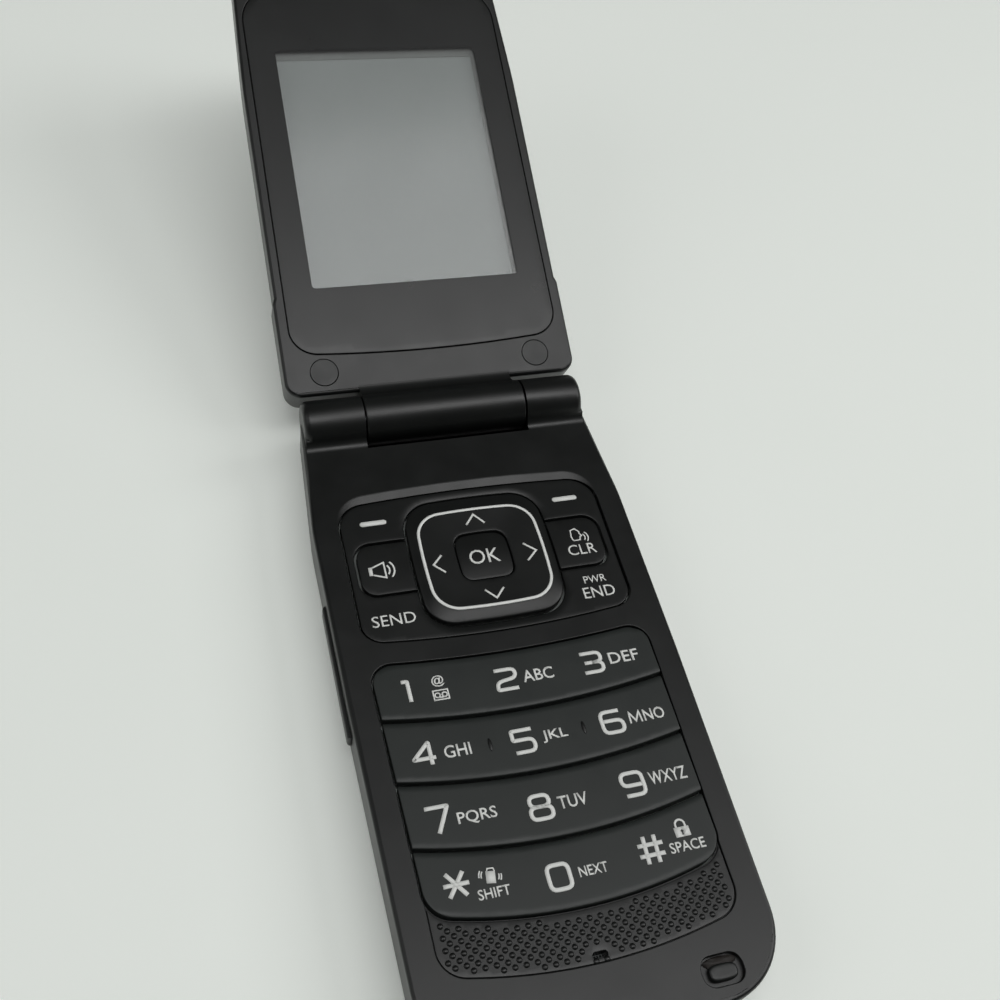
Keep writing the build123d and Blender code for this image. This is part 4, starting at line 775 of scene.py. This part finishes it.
field_work = bmesh.new()
field_points, field_faces, _ = filled([inset(loop, pip_margin) for loop in inlay_plan], field_spacing)
field_corners = [field_work.verts.new((x, y, inlay_top)) for x, y in field_points]
for face in field_faces:
    field_work.faces.new([field_corners[i] for i in face])
field_mesh = bpy.data.meshes.new("field")
field_work.to_mesh(field_mesh)
field_work.free()
pips_mesh = grown("chin_pips", field_mesh, staggered_pips(), {
    "Pitch across": pip_pitch_across, "Pitch along": pip_pitch_along, "Pip radius": pip_radius,
    "Pip height": pip_height, "Material": shell_plastic,
    "Centre": (0.0, (inlay_low.y + inlay_high.y) / 2, inlay_top + field_lift), "Sink": pip_sink})
pips = bpy.data.objects.new("chin_pips", pips_mesh)
bpy.context.scene.collection.objects.link(pips)
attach(pips, "base")

# ---- Volume rocker
# A slim rocker in the left side, moulded in the same plastic as the keys and lacquered with them. Its
# tail is caught behind the housing and rests on two small switches.
skin("volume_rocker", key_lacquer)

# ---- Rubber parts
# Soft parts moulded in black thermoplastic rubber: the two bumpers that the lid closes on, the flap of
# the charging socket with its strap, and the boot that seals the microphone.
bumper_half, bumper_square, bumper_slip, bumper_dish = (1.9 * mm, 1.05 * mm), 0.62, 0.25 * mm, 0.1 * mm
bumper_inset, bumper_edge_radius, bumper_spacing = 2.2 * mm, 0.35 * mm, 0.4 * mm

# moulded rubber: matt and a little dusty, so its edges look softer than those of the plastic
soft_rubber = mottled("moulded_rubber", {"IOR": 1.52}, ("#131514", "#181B1A"), (0.36, 0.46), 2.5 * mm,
                      0.15 * mm, 0.003 * mm)


def dress(material, *nodes):
    """Gives CAD nodes that keep their own shape a finish."""
    for node in nodes:
        frame["nodes"][node].data.materials.clear()
        frame["nodes"][node].data.materials.append(material)


bumper_low, bumper_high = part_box("closing_bumpers")
bumper_at = bumper_high.x - bumper_inset, (bumper_low.y + bumper_high.y) / 2 - bumper_slip
bumpers_work = bmesh.new()
for side in (-1, 1):
    pad = arc((0, 0), 1, 0, 360, 40)[:-1]
    pad = [(bumper_half[0] * math.copysign(abs(x) ** bumper_square, x),
            bumper_half[1] * math.copysign(abs(y) ** bumper_square, y)) for x, y in pad]
    pad = evenly(np.array(pad), fine_spacing) + np.array([side * bumper_at[0], bumper_at[1]])
    one = moulding([pad], lambda x, y: bumper_high.z - bumper_dish, bumper_edge_radius, bumper_low.z,
                   bumper_spacing)
    part = bpy.data.meshes.new("pad")
    one.to_mesh(part)
    bumpers_work.from_mesh(part)
    bpy.data.meshes.remove(part)
    one.free()
piece_of("closing_bumpers_skin", bumpers_work, soft_rubber, "closing_bumpers")
skin("charger_port_cover", soft_rubber)
dress(soft_rubber, "microphone_boot")

# old residue in the upper part of the right pocket, above the pad: a brown-black, lumpy smear
old_residue = mottled("dried_residue", {"IOR": 1.48}, ("#161311", "#241E1A"), (0.5, 0.75), 1 * mm, 0.3 * mm,
                      0.04 * mm)
smear_half, smear_gap = Vector((2.25 * mm, 0.75 * mm, 0.55 * mm)), 0.15 * mm
smear_lumps, lump_pitch = 0.22, 2.3
smear_at = Vector((bumper_at[0], bumper_low.y + 2 * bumper_half[1] + smear_gap, bumper_low.z))
smear_work = bmesh.new()
for vertex in bmesh.ops.create_icosphere(smear_work, subdivisions=3, radius=1)["verts"]:
    lump = 1 + smear_lumps * noise.noise(vertex.co * lump_pitch)
    vertex.co = smear_at + lump * smear_half * vertex.co
piece_of("bumper_residue", smear_work, old_residue, "closing_bumpers", stands_for=False)

# ---- Boards
# The main board, the small board of the volume switches and the board in the lid: glass-fibre epoxy
# with a green solder mask over rows of copper tracks, which stand up through it a little.
track_pitch, track_width, track_rise = 0.9 * mm, 0.16 * mm, 0.02 * mm

# solder mask: a glossy translucent green that is lighter and warmer where it covers copper
solder_mask, tree, shader = finish_of("green_solder_mask", {"IOR": 1.55, "Roughness": 0.3})
# real tracks are 0.1 mm wide and are drawn somewhat wider, so that they show
tracks = add(tree, "ShaderNodeTexBrick", {
    "Vector": place_in(tree), "Color1": linear("#123A26"), "Color2": linear("#174630"),
    "Mortar": linear("#2F7A4B"), "Scale": 1 / track_pitch, "Mortar Size": track_width / track_pitch / 2, "Mortar Smooth": 0.3,
    "Brick Width": 2.6, "Row Height": 0.7, "offset": 0.37, "squash": 1.8, "squash_frequency": 3})
tree.links.new(tracks.outputs["Color"], shader.inputs["Base Color"])
pressed(tree, shader, tracks.outputs["Fac"], track_rise)
dress(solder_mask, "main_board", "volume_switch_board", "lid_board")

# ---- Sheet metal parts
# What is pressed or drawn from thin tin-plated steel: the sheet of snap domes, the shield cans, the
# shell of the charging socket, the can of the motor, and the frame of the display.
rolling_pitch, wire_size, wire_relief = 0.12 * mm, 1.2 * mm, 0.05 * mm


def rolled(name, settings, colours, roughness, grain, depth, stretch=(0.08, 1, 1)):
    """A finish with the fine lines of rolling or turning in a metal, or of the flow in a plastic."""
    material, tree, shader = finish_of(name, settings)
    drawn = add(tree, "ShaderNodeMapping", {"vector_type": "POINT", "Vector": place_in(tree),
                                            "Scale": stretch})
    lines = add(tree, "ShaderNodeTexNoise", {"Vector": drawn.outputs["Vector"], "Scale": 1 / grain,
                                             "Detail": 3}).outputs["Fac"]
    tinted(tree, shader, lines, colours)
    glossed(tree, shader, lines, roughness)
    pressed(tree, shader, lines, depth)
    return material


# tin-plated steel: a soft, slightly yellow white metal with the faint lines of the rolling mill
# real rolling lines are about 0.02 mm apart and are drawn six times as coarse, so that they show
tin_plate = rolled("tin_plated_steel", {"Metallic": 1.0}, ("#B4B5B1", "#C6C6C1"), (0.26, 0.4),
                   rolling_pitch, 0.004 * mm)
dress(tin_plate, "dome_sheet", "shield_can", "charging_socket", "display_frame", "vibration_motor")

# woven steel mesh over the microphone and the earpiece: fine black wires over and under each other
# real wires are about 0.1 mm apart and are drawn about four times as coarse, so that they show
steel_mesh, tree, shader = finish_of("black_woven_steel_mesh", {"Metallic": 1.0, "Roughness": 0.42})
place = place_in(tree)
wires = [add(tree, "ShaderNodeTexWave", {"bands_direction": way, "Vector": place, "Scale": 1 / wire_size})
         for way in ("X", "Y")]
woven = maths(tree, "MAXIMUM", wires[0].outputs["Fac"], wires[1].outputs["Fac"])
tinted(tree, shader, woven, ("#050505", "#4A4C4C"))
pressed(tree, shader, woven, wire_relief)
dress(steel_mesh, "earpiece_mesh", "microphone")

# ---- Moulded inner parts
# Small stiff parts moulded in black glass-filled nylon: carriers, sockets, connectors, the seat of the
# navigation key, the shells of the loudspeaker, receiver and camera, and the bush of the hinge.
# glass-filled nylon: dull black with greyish streaks where the fibres lie along the flow
filled_nylon = rolled("glass_filled_nylon", {"IOR": 1.53}, ("#111214", "#1D1F20"), (0.5, 0.66), 0.35 * mm,
                      0.006 * mm, (0.25, 1, 1))
dress(filled_nylon, "battery_contacts", "antenna_carrier", "loudspeaker", "headset_jack", "flex_connector",
      "hall_sensor", "hinge_bush", "nav_seat", "receiver", "lid_flex_connector", "camera_module")

# ---- Keypad rubber
# One moulded sheet of clear silicone between the keys and the snap domes, with a plunger over each
# dome.
silicone_depth = 1 * mm

# clear silicone: milky and soft, so that light goes a little way in before it comes back
clear_silicone = mottled("clear_silicone", {"IOR": 1.41, "Subsurface Weight": 0.3,
                                            "Subsurface Radius": (silicone_depth,) * 3},
                         ("#AEB4B1", "#C3C8C5"), (0.42, 0.55), 4 * mm, 0.3 * mm, 0.004 * mm)
dress(clear_silicone, "keypad_rubber")

# ---- Ribbon of the hinge
# A flat cable of copper tracks between two films of polyimide, coiled through the bush so that it
# follows the lid.
ribbon_size, ribbon_relief = 2.5 * mm, 0.01 * mm

# polyimide film: clear amber over the fine parallel lines of the tracks
# real tracks are 0.2 mm apart and are drawn about four times as coarse, so that they show
polyimide, tree, shader = finish_of("polyimide_film", {"IOR": 1.7, "Roughness": 0.3})
tracks = add(tree, "ShaderNodeTexWave", {"bands_direction": "X", "Vector": place_in(tree),
                                         "Scale": 1 / ribbon_size}).outputs["Fac"]
tinted(tree, shader, tracks, ("#6E3A0E", "#A5631C"))
pressed(tree, shader, tracks, ribbon_relief)
dress(polyimide, "hinge_flex_base_end", "hinge_flex_lid_end")

# ---- Hinge cartridge, cam shaft and magnet
# The spring cartridge and its shaft are turned and ground from hardened steel; the closing magnet in
# the lid is sintered and nickel-plated.
# ground steel: bright grey, with fine lines round the part
ground_steel = rolled("ground_steel", {"Metallic": 1.0}, ("#8A8D8E", "#A2A5A5"), (0.18, 0.3), 0.1 * mm,
                      0.003 * mm, (1, 0.05, 0.05))
dress(ground_steel, "hinge_cam_shaft", "hinge_cartridge")

# nickel plate: warmer and brighter than steel, with the faint orange peel of a barrel-plated part
nickel_plate = mottled("nickel_plate", {"Metallic": 1.0}, ("#B9B2A4", "#C9C2B5"), (0.14, 0.24), 3 * mm,
                       0.2 * mm, 0.003 * mm)
dress(nickel_plate, "lid_magnet")

# ---- Screws
# Pan-head screws of 1.6 mm in black-oxide steel. Four come up through the rear housing into the front
# one, and two hold the lid, under the caps beside the hinge.
# black oxide: a thin oiled film, nearly black, that lets the steel shine through at the edges
black_oxide = mottled("black_oxide_steel", {"Metallic": 1.0}, ("#1B1C1E", "#2B2D2F"), (0.3, 0.42), 1.2 * mm,
                      0.1 * mm, 0.003 * mm)
dress(black_oxide, "base_screws", "lid_screws")

# ---- Battery pack
# A lithium-ion cell in a black printed sleeve of polyester film, heat-shrunk, so that it is slightly
# wavy over the cell and tight at the ends.
# shrunk polyester film: glossy black with shallow waves
shrunk_film = mottled("shrunk_polyester_film", {"IOR": 1.57}, ("#141517", "#1B1D1F"), (0.22, 0.34), 6 * mm,
                      2.2 * mm, 0.03 * mm)
dress(shrunk_film, "battery_pack")

# ---- Lid housings
# The inner half carries the display and the middle barrel of the hinge, the outer half closes the
# back. Both are moulded like the base, and two screws under the caps hold them at the hinge end.
hinge = next(joint for joint in frame["joints"] if joint["name"] == "lid_hinge")
closing_gap, lid_face_half = 0.95 * mm, 23.2 * mm
lid_tilt = math.pi - math.radians(hinge["range_deg"][1])
lid_place = (Matrix.Translation(hinge["pos_m"]) @ Matrix.Rotation(lid_tilt, 4, "X")
             @ Matrix.Translation((0, 0, -closing_gap)))


def on_the_lid_face(point):
    return abs(point.z) < level_error and abs(point.x) < lid_face_half


skin("lid_inner_housing", shell_plastic, on_the_lid_face, place=lid_place)
skin("lid_outer_housing", shell_plastic)

# ---- Display lens
# One sheet of hard-coated acrylic, 0.8 mm thick, bonded in a recess of the lid. Its back is printed
# black but for the window, so the border looks as deep and glossy as glass.
window_half, window_span, window_corner = 17.72 * mm, (23.79 * mm, 68.23 * mm), 0.7 * mm
lens_thickness, lens_edge_radius, lens_spacing, sheet_spacing = 0.8 * mm, 0.12 * mm, 0.3 * mm, 1.2 * mm
clear_roughness, haze_pitch = 0.12, 12 * mm

# back-printed acrylic: deep black under a clear, hard and slightly hazed face
printed_acrylic = mottled("back_printed_acrylic", {"IOR": 1.49}, ("#0F1010", "#131514"), (0.26, 0.36),
                          14 * mm, 0.4 * mm, 0.0006 * mm)


def seen_by(tree, *rays):
    """A value that is 1 for these kinds of ray and 0 for the others."""
    path = add(tree, "ShaderNodeLightPath", {}).outputs
    seen = path[rays[0]]
    for ray in rays[1:]:
        seen = maths(tree, "MAXIMUM", seen, path[ray])
    return seen


# clear hard-coated acrylic: no colour of its own, a faint haze of fine scratches. It lets the lamps
# through to what lies behind it
clear_acrylic, tree, shader = finish_of("clear_hard_coated_acrylic", {
    "IOR": 1.49, "Roughness": clear_roughness, "Transmission Weight": 1.0})
haze = add(tree, "ShaderNodeTexNoise", {"Vector": place_in(tree), "Scale": 1 / haze_pitch, "Detail": 3})
glossed(tree, shader, haze.outputs["Fac"], (clear_roughness, 1.2 * clear_roughness), (0.4, 0.7))
through = add(tree, "ShaderNodeBsdfTransparent", {})
mix = add(tree, "ShaderNodeMixShader", {0: seen_by(tree, "Is Camera Ray", "Is Transmission Ray"),
                                        1: through.outputs[0], 2: shader.outputs[0]})
tree.links.new(mix.outputs[0], tree.nodes["Material Output"].inputs["Surface"])


def round_box(half, span, corner, spacing=lens_spacing):
    """The outline of an upright rectangle with round corners."""
    corners = [((half - corner), span[0] + corner, -90), ((half - corner), span[1] - corner, 0),
               (-(half - corner), span[1] - corner, 90), (-(half - corner), span[0] + corner, 180)]
    outline = [point for x, y, turn in corners for point in arc((x, y), corner, turn, turn + 90, 6)]
    return evenly(np.array(outline), spacing)


def window_sheet(node, place, thickness, window):
    """A flat sheet of acrylic over a CAD node's outline, clear inside the window and printed round it."""
    plan = plan_of(node, -thickness / 2, lens_spacing, place)[:1]
    work = moulding(plan, lambda x, y: 0.0, lens_edge_radius, -thickness, sheet_spacing, creases=[window])
    work.faces.ensure_lookup_table()
    middles = np.array([face.calc_center_median().xy for face in work.faces])
    for face, clear in zip(work.faces, inside(middles, [window])):
        face.material_index = int(clear)
    sheet = piece_of(node + "_skin", work, printed_acrylic, node, place)
    sheet.data.materials.append(clear_acrylic)


window_sheet("display_lens", lid_place, lens_thickness, round_box(window_half, window_span, window_corner))

# ---- Display
# A liquid crystal module behind the window, switched off, so that its polariser is a flat silvery
# grey. Foam tape seals it to the lens, and shows as a paler strip along the window's top and right.
active_x, active_y = (-19 * mm, 17.15 * mm), (23.0 * mm, 66.9 * mm)
tape_half, tape_span, tape_thickness = 18.4 * mm, (23.2 * mm, 69.0 * mm), 0.1 * mm
tape_corner, tape_edge_radius, tape_gap, tape_reach = 0.6 * mm, 0.04 * mm, 0.02 * mm, 2 * mm
module_top = -1.5 * mm

# reflective polariser under an anti-glare film: a silvery grey that is neither matt nor mirror
polariser = mottled("anti_glare_polariser", {"IOR": 1.5}, ("#838B89", "#8B9391"), (0.44, 0.5), 16 * mm,
                    0.3 * mm, 0.0006 * mm)
dress(polariser, "display_module", "outer_display")

# closed-cell foam tape: a pale grey, soft and quite matt
foam_tape = mottled("closed_cell_foam_tape", {"IOR": 1.45}, ("#6A706D", "#747A77"), (0.75, 0.85), 3 * mm,
                    0.3 * mm, 0.01 * mm)
left, right, low, high = active_x[0] + 0.8 * mm, active_x[1], active_y[0] + 0.6 * mm, active_y[1]
hole = evenly(np.array([(left, low), (right, low), (right, high), (left, high)]), tape_corner)
tape_plan = [round_box(tape_half, tape_span, tape_corner, tape_corner), hole[::-1]]
tape_work = moulding(tape_plan, lambda x, y: module_top + tape_thickness, tape_edge_radius,
                     module_top + tape_gap, tape_reach)
piece_of("display_tape", tape_work, foam_tape, "display_module", lid_place, stands_for=False)

# ---- Outer display window and camera window
# Two flush sheets of the same acrylic in the back of the lid, printed black from behind but for a
# clear window over the small display and another over the camera.
lid_thickness, camera_window_thickness = 7.2 * mm, 0.7 * mm
outer_window_half, outer_window_span, outer_window_corner = 10.6 * mm, (53.0 * mm, 68.0 * mm), 0.8 * mm
camera_at, camera_opening = 81.0 * mm, 2.1 * mm
lid_back_place = lid_place @ Matrix.Translation((0, 0, -lid_thickness)) @ Matrix.Rotation(math.pi, 4, "Y")
window_sheet("outer_lens", lid_back_place, lens_thickness,
             round_box(outer_window_half, outer_window_span, outer_window_corner))
window_sheet("camera_window", lid_back_place, camera_window_thickness,
             np.array(arc((0, camera_at), camera_opening, 0, 350, 35)))

# ---- Screw caps
# Two round plugs over the lid's screws beside the hinge, of the rubber of the bumpers, pressed into
# the face of the lid.
skin("screw_caps", soft_rubber)

# ---- Studio: floor, lamps and camera
# A pale matt table under one wide overhead softbox, with weaker lamps above and on both sides, in a
# room that is dim to the part and pale to the camera.
floor_colours = "#F4F8F3", "#EFF4EE"
floor_half, floor_glow = 1.5, 0.16
room_light, room_seen = 0.08, 0.6

floor_mesh = bpy.data.meshes.new("floor")
corners = [(x * floor_half, y * floor_half, 0) for x, y in ((-1, -1), (1, -1), (1, 1), (-1, 1))]
floor_mesh.from_pydata(corners, [], [(0, 1, 2, 3)])
floor = bpy.data.objects.new("floor", floor_mesh)
bpy.context.scene.collection.objects.link(floor)
# matt laminate: an even, nearly white ground that stays bright right to its edge
table_laminate = mottled("matt_table_laminate", {"Roughness": 0.7, "Emission Color": linear(floor_colours[0])},
                         floor_colours, (0.65, 0.75), 60 * mm, 1 * mm, 0.01 * mm)
tree = table_laminate.node_tree
seen = seen_by(tree, "Is Camera Ray", "Is Transmission Ray", "Is Glossy Ray")
glow = maths(tree, "MULTIPLY", seen, floor_glow)
tree.links.new(glow, tree.nodes["Principled BSDF"].inputs["Emission Strength"])
floor_mesh.materials.append(table_laminate)

world = bpy.data.worlds.new("studio")
world.use_nodes = True
tree = world.node_tree
background = tree.nodes["Background"]
background.inputs["Color"].default_value = linear(floor_colours[0])
seen = seen_by(tree, "Is Camera Ray", "Is Transmission Ray")
strength = add(tree, "ShaderNodeMapRange", {"Value": seen, "To Min": room_light, "To Max": room_seen})
tree.links.new(strength.outputs["Result"], background.inputs["Strength"])
bpy.context.scene.world = world


def softbox(name, place, aim, size, watts):
    """A flat soft lamp, wide along X, that points at aim."""
    lamp = bpy.data.lights.new(name, "AREA")
    lamp.shape, lamp.size, lamp.size_y, lamp.energy = "RECTANGLE", *size, watts
    holder = bpy.data.objects.new(name, lamp)
    turn = (Vector(aim) - Vector(place)).to_track_quat("-Z", "Y").to_matrix().to_4x4()
    holder.matrix_world = Matrix.Translation(place) @ turn
    bpy.context.scene.collection.objects.link(holder)
    return holder


softbox("overhead_softbox", (0.1, -0.08, 0.9), (0.1, -0.07, 0), (0.9, 0.3), 3.0)
softbox("ceiling_fill", (0.25, 0.2, 0.9), (0.25, 0.18, 0), (0.9, 0.3), 0.5)
softbox("right_softbox", (1.0, -0.05, 0.8), (0, 0, 0), (0.6, 0.6), 3.8)
softbox("left_fill", (-0.8, 0.1, 0.6), (0, 0, 0), (0.6, 0.6), 1.0)

camera_place = (-0.041916, -0.067655, 0.154435)
camera_turn = tuple(math.radians(a) for a in (36.08496, -8.10116, -14.60024))
camera_data = bpy.data.cameras.new("camera")
camera_data.sensor_width, camera_data.lens, camera_data.clip_start = 36, 41.865, 0.01
camera = bpy.data.objects.new("camera", camera_data)
camera.location, camera.rotation_euler = camera_place, camera_turn
bpy.context.scene.collection.objects.link(camera)
bpy.context.scene.camera = camera

bpy.context.scene.view_settings.view_transform = "Standard"
bpy.context.view_layer.update()
